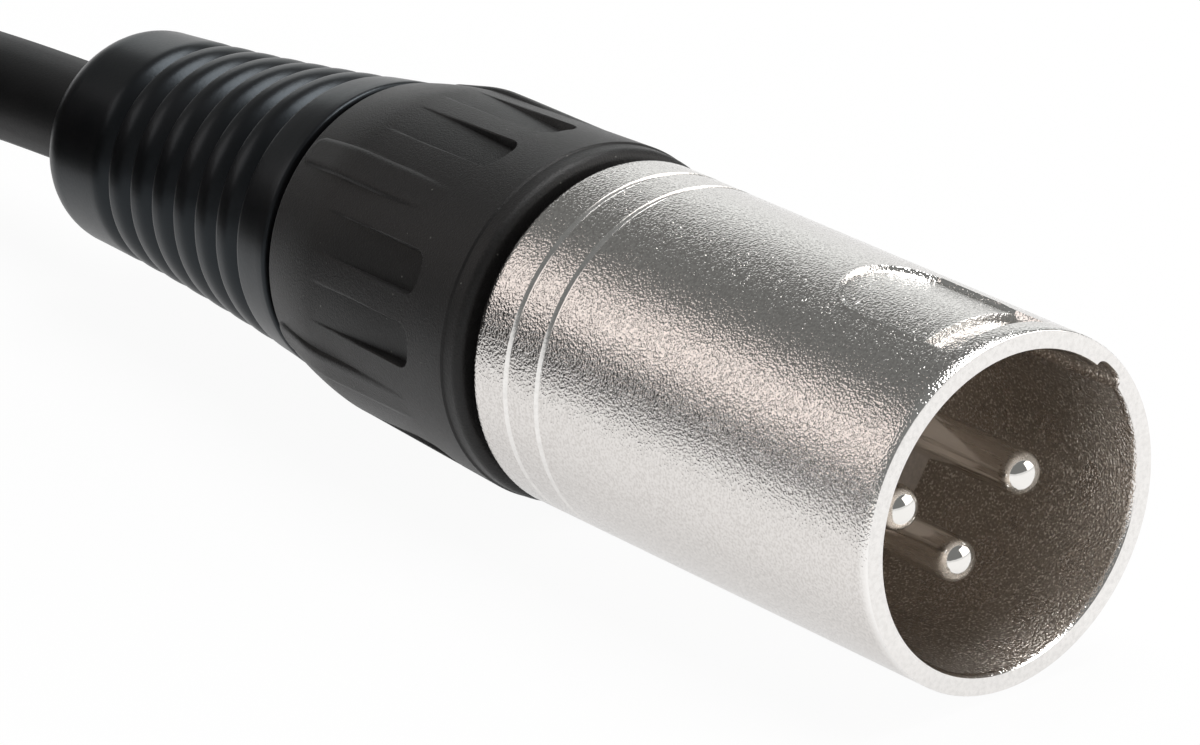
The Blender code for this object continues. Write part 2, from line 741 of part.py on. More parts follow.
def rib_solid(bm, front, angle):
    """One raised rib: straight sides, a level crest that dips at the rear, and a rounded rear end."""
    since = len(bm.verts)
    half = RIB_WIDTH / 2
    start = front + LIP_LENGTH + 1 * MM
    bend = front + LIP_LENGTH + GRIP_LENGTH - 0.4 * MM
    end = front + LIP_LENGTH + GRIP_LENGTH + SHOULDER_LENGTH - 0.2 * MM
    root = NECK_RADIUS + 1.5 * MM
    edge_drop = 0.12 * MM
    slope = (RIB_CREST - RIB_END_CREST) / (end - half - bend)

    def crest(back):
        return RIB_CREST - max(0, back - bend) * slope

    outline = [(start, half), (bend, half)]
    arcs = 6
    for index in range(arcs + 1):
        turn = math.pi * index / arcs
        outline.append((end - half + half * math.sin(turn), half * math.cos(turn)))
    outline += [(bend, -half), (start, -half)]
    inset = 0.35 * MM
    rings = []
    for shrink, lift, base in ((0, None, root), (0, -2 * edge_drop, None), (inset, 0, None)):
        ring = []
        for back, side in outline:
            middle = min(back, end - half)
            scale = 1 - shrink / half
            place = middle + (back - middle) * scale
            height = base if lift is None else crest(place) + lift
            ring.append(bm.verts.new((-place, side * scale, height)))
        rings.append(ring)
    for low, high in zip(rings, rings[1:]):
        count = len(low)
        for index in range(count):
            following = (index + 1) % count
            bm.faces.new((low[index], low[following], high[following], high[index]))
    bm.faces.new(rings[0])
    top = rings[-1]
    last = len(top) - 1
    bm.faces.new((top[0], top[1], top[last - 1], top[last]))
    bm.faces.new(top[1:last])
    round_the_axis(bm, angle, since)


def pocket_solid(bm, front, angle):
    """The cutter of one pocket: a round front end, straight sides, and a floor that the taper meets."""
    since = len(bm.verts)
    half = POCKET_WIDTH / 2
    start = front + POCKET_SET_BACK
    end = front + LIP_LENGTH + GRIP_LENGTH + 1 * MM
    floor = math.sqrt(GRIP_END_RADIUS**2 - half * half)
    outline = [(end, -half)]
    arcs = 6
    for index in range(arcs + 1):
        turn = math.pi * index / arcs
        outline.append((start + half - half * math.sin(turn), -half * math.cos(turn)))
    outline.append((end, half))
    corners = [(-back, side, floor) for back, side in outline]
    extrude_face(bm, corners, Vector((0, 0, LIP_RADIUS - floor + 1 * MM)))
    round_the_axis(bm, angle, since)


def grip_nut(name, shell_end, parent, finish):
    """The moulded nut: spigot, rounded lip, tapered grip with ribs and pockets, and the sleeve's neck."""
    front = shell_end + NUT_LIP_GAP
    outside = grip_stations(front)
    end = outside[-1][0]
    neck_end = end + NECK_LENGTH
    spigot_front = front - SPIGOT_LENGTH
    jaw_start = collet_start(shell_end) + COLLET_RING_LENGTH
    jaw_end = jaw_start + JAW_LENGTH
    section = [
        (spigot_front, SPIGOT_RADIUS),
        (front, SPIGOT_RADIUS),
        *outside,
        (end, NECK_RADIUS),
        (neck_end, NECK_RADIUS),
        (neck_end, NUT_BORE),
        (jaw_end + 2 * MM, NUT_BORE),
        (jaw_end + GAP, JAW_END_RADIUS + GAP),
        (jaw_start, SPIGOT_BORE),
        (spigot_front, SPIGOT_BORE),
    ]
    nut = turned(name, section, parent, finish, NUT_STEPS)
    pitch = math.tau / RIB_COUNT
    step = pitch / (POCKETS_PER_RIB + 1)
    ribs = bmesh.new()
    pockets = bmesh.new()
    for index in range(RIB_COUNT):
        angle = RIB_ANGLE + index * pitch
        rib_solid(ribs, front, angle)
        for pocket in range(POCKETS_PER_RIB):
            pocket_solid(pockets, front, angle + (pocket + 1) * step)
    boolean(nut, add_mesh(name + "_ribs", ribs, parent, None), "UNION")
    boolean(nut, add_mesh(name + "_pocket_cutter", pockets, parent, None))


def sleeve_radius(past):
    return SLEEVE_FRONT_RADIUS - SLEEVE_TAPER * past + SLEEVE_FLARE * past * past


def ribbed_sleeve(name, shell_end, parent, finish, bend):
    """The rubber bend relief: a band, grooves with rounded ribs between them, and a rounded rear end."""
    neck_start = shell_end + NUT_REACH
    start = neck_start + SLEEVE_SEAM
    end = start + SLEEVE_LENGTH
    neck_end = neck_start + NECK_LENGTH
    outline = [(0, -0.2 * MM), (0.2 * MM, 0)]
    for index in range(GROOVE_COUNT):
        groove = SLEEVE_BAND + index * GROOVE_PITCH
        outline += [
            (groove, 0),
            (groove + 0.15 * MM, -GROOVE_DEPTH),
            (groove + 1.1 * MM, -0.08 * MM),
        ]
    outside = [(start + past, sleeve_radius(past) + lift) for past, lift in outline]
    round_start = SLEEVE_LENGTH - SLEEVE_END_ROUND
    top = sleeve_radius(round_start)
    arcs = 4
    for index in range(arcs + 1):
        turn = index * math.pi / 2 / arcs
        back = start + round_start + SLEEVE_END_ROUND * math.sin(turn)
        outside.append((back, SLEEVE_END_RADIUS + (top - SLEEVE_END_RADIUS) * math.cos(turn)))
    section = [
        *outside,
        (end, SLEEVE_BORE),
        (neck_end + GAP, SLEEVE_BORE),
        (neck_end + GAP, NECK_RADIUS + BORE_CLEARANCE),
        (start, NECK_RADIUS + BORE_CLEARANCE),
    ]
    turned(name, section, parent, finish, SLEEVE_STEPS, bend)


def collet_start(shell_end):
    """The collet's front, just behind the insert's boss."""
    return shell_end - PLUG_TAIL + INSERT_BOSS_LENGTH + GAP


def rear_pieces(prefix, shell_end, cup_start, parent, finishes, bend):
    """What both connectors have behind their shells: cores, jacket, collet, nut and sleeve."""
    collet_front = collet_start(shell_end)
    grip_start = collet_front + COLLET_RING_LENGTH
    jacket_start = shell_end + JACKET_SET_BACK
    jacket_end = shell_end + REAR_LENGTH - JACKET_JOINT
    collet(prefix + "_chuck", collet_front, parent, finishes["collet"])
    grip_nut(prefix + "_nut", shell_end, parent, finishes["nut"])
    ribbed_sleeve(prefix + "_sleeve", shell_end, parent, finishes["rubber"], bend)
    wires(prefix + "_wire", cup_start, jacket_start, parent, finishes["wires"])
    sink = bend or (lambda back: 0)
    route = [jacket_start, grip_start + JAW_LENGTH, shell_end + NUT_REACH]
    route += [shell_end + NUT_REACH + NECK_LENGTH, jacket_end - 3 * CABLE_RADIUS, jacket_end]
    points = smooth_line([(-back, 0, -sink(back)) for back in route], 3 * MM)
    tube(prefix + "_jacket", points, CABLE_RADIUS, parent, finishes["jacket"])


def frame_at(name, place, turn):
    frame = bpy.data.objects.new(name, None)
    bpy.context.scene.collection.objects.link(frame)
    frame.location = place
    frame.rotation_euler.z = turn
    return frame


def plug(finishes):
    frame = frame_at("plug_frame", (PLUG_FACE, 0, AXIS_HEIGHT), 0)
    plug_shell(frame, finishes["shell"])
    cup_start = plug_insert(frame, finishes["insert"])
    earth_clip(frame, finishes["contact"])
    fronts = [pin_front(set_back) for set_back in PIN_SET_BACKS]
    contacts("male_pin", fronts, cup_start, frame, finishes["contact"])
    rear_pieces("male", PLUG_SHELL_LENGTH, cup_start, frame, finishes, droop)


def socket_shell(parent, finish):
    inner = NOSE_RADIUS - NOSE_WALL
    step_inside = NOSE_LENGTH + FRONT_WALL
    section = [
        (0, NOSE_RADIUS - EDGE_CHAMFER),
        (EDGE_CHAMFER, NOSE_RADIUS),
        (NOSE_LENGTH, NOSE_RADIUS),
        (NOSE_LENGTH, SHELL_RADIUS - 2 * EDGE_CHAMFER),
        (NOSE_LENGTH + 2 * EDGE_CHAMFER, SHELL_RADIUS),
        (SOCKET_SHELL_LENGTH - EDGE_CHAMFER, SHELL_RADIUS),
        (SOCKET_SHELL_LENGTH, SHELL_RADIUS - EDGE_CHAMFER),
        (SOCKET_SHELL_LENGTH, THREAD_BORE_RADIUS),
        (step_inside, THREAD_BORE_RADIUS),
        (step_inside, inner),
        (0, inner),
    ]
    shell = turned("female_shell", section, parent, finish)
    key = box(
        "key_rib",
        (KEY_START, NOSE_LENGTH - KEY_SET_BACK),
        (-KEY_WIDTH / 2, KEY_WIDTH / 2),
        (inner + NOSE_WALL / 2, NOSE_RADIUS + KEY_HEIGHT),
        parent,
    )
    key.rotation_euler.x = KEYWAY_ANGLE
    boolean(shell, key, "UNION")
    top = SHELL_RADIUS + 2 * MM
    slot = box(
        "lever_slot_cutter",
        (TOOTH_START - 2 * GAP, TAB_START),
        (-LEVER_WIDTH / 2 - GAP, LEVER_WIDTH / 2 + GAP),
        (INSERT_FLAT, top),
        parent,
    )
    boolean(shell, slot)
    window = box(
        "tab_window_cutter",
        (TAB_START - GAP, TAB_END + 2 * GAP),
        (-TAB_WIDTH / 2 - GAP, TAB_WIDTH / 2 + GAP),
        (INSERT_FLAT, top),
        parent,
    )
    boolean(shell, window)


def socket_insert(parent, finish):
    """The insulator of the socket connector: milled flat for the lever, with its ears and spring seat."""
    nose = NOSE_RADIUS - NOSE_WALL - GAP
    step = NOSE_LENGTH + FRONT_WALL + GAP
    boss_start = SOCKET_BOSS_START
    end = collet_start(SOCKET_SHELL_LENGTH) - GAP
    section = [
        (INSERT_SET_BACK, 0),
        (INSERT_SET_BACK, nose),
        (step, nose),
        (step, INSERT_RADIUS),
        (boss_start, INSERT_RADIUS),
        (boss_start, INSERT_BOSS_RADIUS),
        (end, INSERT_BOSS_RADIUS),
        (end, 0),
    ]
    insert = turned("female_insert", section, parent, finish, NUT_STEPS)
    cup_start = boss_start
    past = end + 1 * MM
    holes = contact_holes("socket_mouth_cutter", (-1 * MM, CONTACT_SET_BACK), HOLE_RADIUS, parent)
    bores = contact_holes(
        "contact_bore_cutter",
        (CONTACT_SET_BACK - GAP, past),
        SLEEVE_CONTACT_RADIUS + PIN_GAP,
        parent,
    )
    boolean(insert, holes)
    boolean(insert, bores)

    above = INSERT_RADIUS + 1 * MM
    ear_half = LEVER_WIDTH / 2 + GAP + EAR_THICKNESS
    ear_front = PIVOT_BACK - EYE_RADIUS
    ear_rear = PIVOT_BACK + EYE_RADIUS
    lever_half = LEVER_WIDTH / 2 + GAP
    wide = 2 * INSERT_RADIUS
    lengthways = (-1 * MM, past)
    blocks = (
        ((-1 * MM, ear_front), (-wide, wide), INSERT_FLAT),
        ((ear_rear, past), (-wide, wide), INSERT_FLAT),
        (lengthways, (-lever_half, lever_half), INSERT_FLAT),
        (lengthways, (-wide, -ear_half), INSERT_FLAT),
        (lengthways, (ear_half, wide), INSERT_FLAT),
        (lengthways, (-wide, wide), EAR_TOP),
    )
    for index, (backs, sides, low) in enumerate(blocks):
        cut = box(f"flat_cutter_{index}", backs, sides, (low, above), parent)
        boolean(insert, cut)
    notch = PIVOT_RADIUS + GAP
    pin_notch = box(
        "pin_notch_cutter",
        (PIVOT_BACK - notch, PIVOT_BACK + notch),
        (-ear_half - GAP, ear_half + GAP),
        (PIVOT_HEIGHT - notch, above),
        parent,
    )
    boolean(insert, pin_notch)
    pocket = bmesh.new()
    seat_depth = INSERT_FLAT - SPRING_SEAT + 1 * MM
    placed = Matrix.Translation((-SPRING_BACK, 0, SPRING_SEAT + seat_depth / 2))
    bmesh.ops.create_cone(
        pocket,
        cap_ends=True,
        segments=INNER_STEPS,
        radius1=SPRING_RADIUS + SPRING_WIRE + GAP,
        radius2=SPRING_RADIUS + SPRING_WIRE + GAP,
        depth=seat_depth,
        matrix=placed,
    )
    boolean(insert, add_mesh("spring_pocket_cutter", pocket, parent, None))
    return cup_start


def socket_front():
    """A socket contact's mouth and bore, from the bottom of the bore round to the cup's collar."""
    bore = PIN_RADIUS + PIN_GAP / 2
    depth = CONTACT_SET_BACK + SOCKET_DEPTH - min(PIN_SET_BACKS) + GAP
    return [
        (depth + 0.5 * MM, 0),
        (depth, bore),
        (CONTACT_SET_BACK + 0.3 * MM, bore),
        (CONTACT_SET_BACK, bore + 0.2 * MM),
        (CONTACT_SET_BACK, SLEEVE_CONTACT_RADIUS),
    ]


def lever_outline():
    """The lever's side view: tooth with a lead-in ramp, straight bar, eye round the pivot."""
    outline = [
        (TOOTH_START, LEVER_UNDERSIDE),
        (TOOTH_START, LEVER_TOP - 0.3 * MM),
        (TOOTH_END - 0.8 * MM, TOOTH_TOP),
        (TOOTH_END, TOOTH_TOP),
        (TOOTH_END + 0.2 * MM, LEVER_TOP),
        (PIVOT_BACK - 2 * EYE_RADIUS, LEVER_TOP),
    ]
    arcs = 8
    for index in range(arcs + 1):
        turn = math.pi / 2 - index * math.pi / arcs
        outline.append(
            (
                PIVOT_BACK + EYE_RADIUS * math.cos(turn),
                PIVOT_HEIGHT + EYE_RADIUS * math.sin(turn),
            )
        )
    outline.append((PIVOT_BACK - 2 * EYE_RADIUS, LEVER_UNDERSIDE))
    return outline


def latch(parent, finishes):
    lever = side_prism("female_latch", lever_outline(), LEVER_WIDTH, parent, finishes["latch"])
    length = TAB_END - TAB_START
    tab_outline = [
        (TAB_START, LEVER_UNDERSIDE + 0.4 * MM),
        (TAB_START, TAB_TOP - 1.0 * MM),
        (TAB_START + 0.25 * length, TAB_TOP),
        (TAB_START + 0.45 * length, TAB_TOP),
        (TAB_START + 0.5 * length, TAB_TOP - 0.25 * MM),
        (TAB_START + 0.55 * length, TAB_TOP - 0.1 * MM),
        (TAB_START + 0.68 * length, TAB_TOP - 0.2 * MM),
        (TAB_START + 0.73 * length, TAB_TOP - 0.45 * MM),
        (TAB_START + 0.78 * length, TAB_TOP - 0.3 * MM),
        (TAB_END, TAB_TOP - 0.7 * MM),
        (TAB_END, LEVER_UNDERSIDE + 0.4 * MM),
    ]
    tab = side_prism("tab_solid", tab_outline, TAB_WIDTH, parent)
    boolean(lever, tab, "UNION")
    eye = bmesh.new()
    across = Matrix.Rotation(math.pi / 2, 4, "X")
    placed = Matrix.Translation((-PIVOT_BACK, 0, PIVOT_HEIGHT)) @ across
    hole = PIVOT_RADIUS + PIN_GAP
    bmesh.ops.create_cone(
        eye,
        cap_ends=True,
        segments=PIN_STEPS,
        radius1=hole,
        radius2=hole,
        depth=LEVER_WIDTH + 2 * MM,
        matrix=placed,
    )
    boolean(lever, add_mesh("eye_cutter", eye, parent, None))
    pin = bmesh.new()
    bmesh.ops.create_cone(
        pin,
        cap_ends=True,
        segments=PIN_STEPS,
        radius1=PIVOT_RADIUS,
        radius2=PIVOT_RADIUS,
        depth=LEVER_WIDTH + 2 * (GAP + EAR_THICKNESS),
        matrix=placed,
    )
    add_mesh("latch_pin", pin, parent, finishes["contact"])
    spring(parent, finishes["contact"])


def spring(parent, finish):
    """A small compression spring that stands in the insert and pushes the lever up."""
    bottom = SPRING_SEAT + GAP + SPRING_WIRE
    top = LEVER_UNDERSIDE - GAP - SPRING_WIRE
    per_turn = 10
    count = SPRING_TURNS * per_turn
    points = []
    for index in range(count + 1):
        turn = math.tau * index / per_turn
        height = bottom + (top - bottom) * index / count
        y = SPRING_RADIUS * math.cos(turn)
        points.append((-SPRING_BACK + SPRING_RADIUS * math.sin(turn), y, height))
    tube("latch_spring", points, SPRING_WIRE, parent, finish, bevel_resolution=1)


def socket(finishes):
    frame = frame_at("socket_frame", (*SOCKET_PLACE, AXIS_HEIGHT), 0)
    socket_shell(frame, finishes["shell"])
    cup_start = socket_insert(frame, finishes["insert"])
    fronts = [socket_front()] * len(CONTACT_ANGLES)
    contacts("female_socket", fronts, cup_start, frame, finishes["contact"])
    latch(frame, finishes)
    rear_pieces("female", SOCKET_SHELL_LENGTH, cup_start, frame, finishes, None)


def coil_ring(finish):
    """The outer shape of the wound cable: one turned ring with rounded corners."""
    corner = CABLE_RADIUS
    low = COIL_BOTTOM
    high = COIL_BOTTOM + COIL_HEIGHT
    section = []
    arcs = 2
    for centre, first in (
        ((COIL_OUTER_RADIUS - corner, high - corner), 90),
        ((COIL_OUTER_RADIUS - corner, low + corner), 0),
        ((COIL_INNER_RADIUS + corner, low + corner), -90),
        ((COIL_INNER_RADIUS + corner, high - corner), -180),
    ):
        for index in range(arcs + 1):
            turn = (first - 90 * index / arcs) * DEGREE
            radius = centre[0] + corner * math.cos(turn)
            section.append((radius, centre[1] + corner * math.sin(turn)))
    bm = bmesh.new()
    points = [bm.verts.new((radius, 0, height)) for radius, height in section]
    edges = [bm.edges.new(pair) for pair in zip(points, points[1:] + points[:1])]
    bmesh.ops.spin(
        bm,
        geom=points + edges,
        cent=(0, 0, 0),
        axis=(0, 0, 1),
        angle=math.tau,
        steps=COIL_STEPS,
        use_merge=True,
    )
    bmesh.ops.remove_doubles(bm, verts=bm.verts, dist=0.001 * MM)
    ring = add_mesh("cable_coil", bm, None, finish)
    ring.location = (*COIL_CENTRE, 0)


def rounded_rectangle(low, high, corner):
    """Points round a rectangle in the radial and upright directions, with arcs at its corners."""
    arcs = 4
    points = []
    for u, v, first in (
        (high[0] - corner, high[1] - corner, 0),
        (low[0] + corner, high[1] - corner, 90),
        (low[0] + corner, low[1] + corner, 180),
        (high[0] - corner, low[1] + corner, 270),
    ):
        for index in range(arcs + 1):
            turn = (first + 90 * index / arcs) * DEGREE
            points.append((u + corner * math.cos(turn), v + corner * math.sin(turn)))
    return points


def tie(name, angle, finish):
    """A strap round the bundle of turns: a closed band that clears the coil and lies on the surface."""
    half = TIE_WIDTH / 2
    inner = math.sqrt(COIL_INNER_RADIUS**2 - half * half) - GAP
    low = (inner, TIE_THICKNESS)
    high = (COIL_OUTER_RADIUS + GAP, COIL_BOTTOM + COIL_HEIGHT + GAP)
    corner = CABLE_RADIUS
    inside = rounded_rectangle(low, high, corner)
    out = TIE_THICKNESS
    outside = rounded_rectangle(
        (low[0] - out, low[1] - out), (high[0] + out, high[1] + out), corner + out
    )
    bm = bmesh.new()
    rings = []
    for points, side in ((inside, -half), (outside, -half), (outside, half), (inside, half)):
        rings.append([bm.verts.new((u, side, v)) for u, v in points])
    count = len(inside)
    for one, other in zip(rings, rings[1:] + rings[:1]):
        for index in range(count):
            following = (index + 1) % count
            bm.faces.new((one[index], one[following], other[following], other[index]))
    strap = add_mesh(name, bm, None, finish)
    strap.location = (*COIL_CENTRE, 0)
    strap.rotation_euler.z = angle


def run_points():
    """The cable's free route out of the plug, down to the side of the coil."""
    exit_height = AXIS_HEIGHT - droop(PLUG_LENGTH)
    return [(PLUG_REAR - behind, 0, exit_height - drop) for behind, drop in RUN_STATIONS]


def tail_points():
    """The cable's free route out of the coil, round its side and straight into the socket connector."""
    x, y = COIL_CENTRE
    points = [
        (x + TAIL_RADIUS * math.cos(angle), y + TAIL_RADIUS * math.sin(angle), AXIS_HEIGHT + rise)
        for angle, rise in TAIL_STATIONS
    ]
    points += [(x + along, y - TAIL_RADIUS + aside, AXIS_HEIGHT) for along, aside in TAIL_ENDING]
    return points


def cable(finishes):
    for name, points in (("cable", run_points()), ("cable_tail", tail_points())):
        tube(name, smooth_line(points, 3 * CABLE_RADIUS), CABLE_RADIUS, None, finishes["jacket"])
    coil_ring(finishes["jacket"])
    for number, angle in enumerate(TIE_ANGLES, 1):
        tie(f"coil_tie_{number}", angle, finishes["tie"])


def all_finishes():
    return {
        "shell": material("satin_nickel", (0.62, 0.61, 0.59), 1.0, 0.38),
        "insert": material("black_insulator", (0.03, 0.03, 0.032), 0.0, 0.45),
        "contact": material("silvered_contact", (0.85, 0.84, 0.8), 1.0, 0.15),
        "nut": material("moulded_black", (0.022, 0.022, 0.024), 0.0, 0.42),
        "rubber": material("black_rubber", (0.02, 0.02, 0.022), 0.0, 0.5),
        "jacket": material("cable_jacket", (0.018, 0.018, 0.02), 0.0, 0.6),
        "collet": material("natural_nylon", (0.75, 0.73, 0.66), 0.0, 0.5),
        "latch": material("latch_steel", (0.5, 0.49, 0.47), 1.0, 0.35),
        "tie": material("woven_strap", (0.03, 0.03, 0.03), 0.0, 0.9),
        "wires": (
            material("bare_screen", (0.7, 0.6, 0.45), 1.0, 0.4),
            material("red_core", (0.5, 0.03, 0.02), 0.0, 0.4),
            material("white_core", (0.8, 0.8, 0.78), 0.0, 0.4),
        ),
    }


def main():
    clear_scene()
    finishes = all_finishes()
    plug(finishes)
    socket(finishes)
    cable(finishes)


main()
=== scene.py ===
"""The looks of a microphone cable with three-pole circular connectors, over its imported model.

Everything is in metres in the frame of the model.  A connector's own pieces are made about its
axis: the mating face is at x = 0, the body runs back along -X, "back" is the distance behind the
mating face, and an angle goes from the top towards +Y.
"""

import math

import bmesh
import bpy
from mathutils import Matrix, Vector


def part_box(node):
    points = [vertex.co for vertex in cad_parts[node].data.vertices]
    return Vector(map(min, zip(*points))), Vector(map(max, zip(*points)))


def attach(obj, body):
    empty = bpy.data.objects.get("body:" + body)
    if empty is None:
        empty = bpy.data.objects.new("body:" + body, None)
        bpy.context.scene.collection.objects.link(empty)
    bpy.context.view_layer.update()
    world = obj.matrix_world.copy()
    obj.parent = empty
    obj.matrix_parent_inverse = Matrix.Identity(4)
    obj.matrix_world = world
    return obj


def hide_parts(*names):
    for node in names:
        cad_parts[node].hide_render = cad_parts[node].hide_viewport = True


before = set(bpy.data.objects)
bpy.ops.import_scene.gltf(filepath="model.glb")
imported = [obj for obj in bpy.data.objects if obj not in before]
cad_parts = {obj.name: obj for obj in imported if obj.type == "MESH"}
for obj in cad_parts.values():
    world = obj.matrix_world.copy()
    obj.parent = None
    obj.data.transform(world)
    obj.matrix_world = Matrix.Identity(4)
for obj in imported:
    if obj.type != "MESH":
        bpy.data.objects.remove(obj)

MM = 0.001
DEGREE = math.pi / 180
WELD_DISTANCE = 0.0005 * MM
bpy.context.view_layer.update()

# Places and main sizes that the model gives
SHELL_LOW, SHELL_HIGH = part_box("male_shell")
PLUG_FACE = Vector((SHELL_HIGH.x, 0, (SHELL_LOW.z + SHELL_HIGH.z) / 2))
SHELL_RADIUS = (SHELL_HIGH.z - SHELL_LOW.z) / 2
SHELL_LENGTH = SHELL_HIGH.x - SHELL_LOW.x
INSERT_LOW, INSERT_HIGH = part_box("female_insert")
SOCKET_LOW, SOCKET_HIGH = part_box("female_shell")
SOCKET_FACE = Vector((SOCKET_HIGH.x, (INSERT_LOW.y + INSERT_HIGH.y) / 2, PLUG_FACE.z))
SOCKET_LENGTH = SOCKET_HIGH.x - SOCKET_LOW.x
COIL_LOW, COIL_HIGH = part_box("cable_coil")
COIL_CENTRE = (COIL_LOW + COIL_HIGH) / 2
COIL_OUTER_RADIUS = (COIL_HIGH.x - COIL_LOW.x) / 2

# The plug shell's detail
RIM_BORE = 8.38 * MM
THREAD_BORE = 8.8 * MM
SOCKET_DEPTH = SHELL_HIGH.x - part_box("male_insert")[1].x
EDGE_SOFTNESS = 0.05 * MM
LIP_HEIGHT = 0.045 * MM
# Depth and width of the painted highlight along the shell's edges
RIM_HIGHLIGHT = 0.12 * MM
HIGHLIGHT_WIDTH = 0.1 * MM
RECESS_HALF_ANGLE = 18.5 * DEGREE
NOTCH_START = 1.4 * MM
NOTCH_END = 3.4 * MM
NOTCH_DEPTH = 0.65 * MM
RECESS_ROUND_START = 7.8 * MM
RECESS_END = 11.4 * MM
RECESS_DEPTH = 0.2 * MM
RING_GROOVES = (5.0 * MM, 2.5 * MM)
GROOVE_HALF_WIDTH = 0.2 * MM
KEYWAY_ANGLE = 47.5 * DEGREE
KEYWAY_WIDTH = 2.1 * MM
KEYWAY_DEPTH = 0.42 * MM

# The grip nut and the sleeve behind the shell
NUT_LIP_GAP = 0.6 * MM
LIP_RADIUS = 9.79 * MM
GRIP_END_RADIUS = 9.3 * MM
SHOULDER_END_RADIUS = 8.52 * MM
LIP_LENGTH = 2.0 * MM
LIP_FRONT = 0.6 * MM
LIP_ROUND = 0.55 * MM
LIP_EDGE = 1.87 * MM
LIP_STEP = 0.09 * MM
GRIP_LENGTH = 12.0 * MM
SHOULDER_LENGTH = 4.35 * MM
NUT_LENGTH = LIP_LENGTH + GRIP_LENGTH + SHOULDER_LENGTH
NUT_END_BAND = 0.2 * MM
SPIGOT_LENGTH = 9.0 * MM
SPIGOT_RADIUS = 8.5 * MM
SPIGOT_BORE = 7.3 * MM
THREAD_PITCH = 1.5 * MM
NUT_BORE = 4.2 * MM
NECK_RADIUS = 6.2 * MM
NECK_LENGTH = 4.2 * MM
RIB_ANGLES = [(30 + 72 * index) * DEGREE for index in range(5)]
RIB_WIDTH = 2.0 * MM
RIB_CREST = 9.62 * MM
RIB_END_CREST = 8.92 * MM
POCKET_WIDTH = 2.3 * MM
POCKET_START = 4.9 * MM
POCKET_END = 12.0 * MM
POCKET_DEPTH = 0.2 * MM
POCKET_CORNER = 0.8 * MM
POCKET_ANGLES = [rib + step * DEGREE for rib in RIB_ANGLES for step in (24, 48)]
SLEEVE_SEAM = 0.45 * MM
SLEEVE_LENGTH = 24.2 * MM
SLEEVE_FRONT_RADIUS = 8.42 * MM
SLEEVE_BAND = 3.0 * MM
GROOVE_COUNT = 7
GROOVE_PITCH = 2.27 * MM
SLEEVE_END_RADIUS = 4.2 * MM
SLEEVE_END_ROUND = 2.5 * MM
SLEEVE_GAP = 0.4 * MM
MOUTH_STEP = 0.07 * MM
DROOP_SLOPE = 0.046
DROOP_EASING = 4.0 * MM

# Outlines in millimetres: how far behind their start, and how far over the plain surface
SHELL_FRONT = ((0, -0.1), (0.03, -0.04), (0.1, 0), (0.8, 0))
SHELL_REAR = ((-0.2, 0), (-0.1, 0), (0.1, -0.05), (0.25, -0.15), (0.38, -0.3), (0.45, -0.5))
PLUG_GROOVE_HALF = ((0.05, -0.16), (0.13, -0.1), (0.2, 0), (0.28, 0))
SOCKET_GROOVE_HALF = ((0, -0.2), (0.14, -0.03), (0.2, 0), (0.28, 0))
SLEEVE_FRONT = ((0, -0.4), (0.03, -0.22), (0.1, -0.09), (0.2, -0.02), (0.35, 0), (1.0, 0), (1.8, 0))
SLEEVE_TOOTH = (
    (-0.25, 0),
    (-0.12, -0.01),
    (-0.04, -0.04),
    (0.01, -0.12),
    (0.06, -0.5),
    (0.12, -0.64),
    (0.34, -0.66),
    (0.5, -0.55),
    (0.7, -0.39),
    (0.9, -0.26),
    (1.1, -0.15),
    (1.3, -0.07),
    (1.5, -0.02),
    (1.7, 0),
)
# A contact's tip, likewise, with its radius in place of a height
PIN_TIP = (
    (0.0, 0.0),
    (0.04, 0.35),
    (0.13, 0.62),
    (0.27, 0.84),
    (0.3, 0.87),
    (0.36, 0.93),
    (0.5, 1.04),
    (0.7, 1.13),
    (0.95, 1.18),
    (1.2, 1.195),
)

# Blocks on the socket connector's shell, as spans of back, side and height
SOCKET_KEY = ((1.0 * MM, 12.0 * MM), (-0.7 * MM, 0.7 * MM), (7.6 * MM, 8.55 * MM))
KEY_ANGLE = 49.5 * DEGREE
LATCH_SLOT = ((2.6 * MM, 15.9 * MM), (-2.5 * MM, 2.5 * MM), (5.0 * MM, 11.5 * MM))
LATCH_WINDOW = ((15.6 * MM, 21.5 * MM), (-3.4 * MM, 3.4 * MM), (5.0 * MM, 11.5 * MM))

# The cable
CABLE_RADIUS = 3.0 * MM
RUN_POINTS = (
    (-0.0350, 0, 0.00879),
    (-0.0430, 0, 0.00838),
    (-0.0490, 0, 0.00798),
    (-0.0552, 0, 0.00740),
    (-0.0635, 0, 0.00625),
    (-0.0715, 0, 0.00490),
)
TAIL_RADIUS = COIL_OUTER_RADIUS + 3.6 * MM
TAIL_STATIONS = ((225, 3.8 * MM), (240, 1.9 * MM), (255, 0.5 * MM), (270, 0))
TAIL_ENDING = (
    (12.0 * MM, 1.2 * MM),
    (22.0 * MM, 4.0 * MM),
    (29.0 * MM, 5.65 * MM),
    (33.0 * MM, 6.0 * MM),
    (38.0 * MM, 6.0 * MM),
    (40.0 * MM, 6.0 * MM),
)

# The coil's turns, with angles in degrees and lengths in millimetres, and the ties
LAYER_RADII = ((42, 36, 30, 24), (27, 33, 39), (42, 36, 30, 24), (27, 33, 39))
LAYER_HEIGHTS = (4.2, 9.4, 14.6, 19.8)
TURN_STEP = 6
COIL_STARTS_AT = 90
COIL_ENDS_AT = 156
TURN_CHANGES_FROM = 180
LAYER_CHANGES_UNTIL = 270
TIE_ANGLES = (0, 160 * DEGREE)
WAY_OUT = ((160, 39.0, 19.8), (176, 41.2, 20.7), (192, 44.9, 19.6), (208, 47.6, 16.8))

# The camera, fitted to the round rim of the plug in the photograph
CAMERA_OFFSET = Vector((0.23525, -0.22118, 0.14034))
CAMERA_RIGHT = Vector((0.63790, 0.77012, 0.0))
CAMERA_UP = Vector((-0.29341, 0.24304, 0.92458))
LENS = 214.34


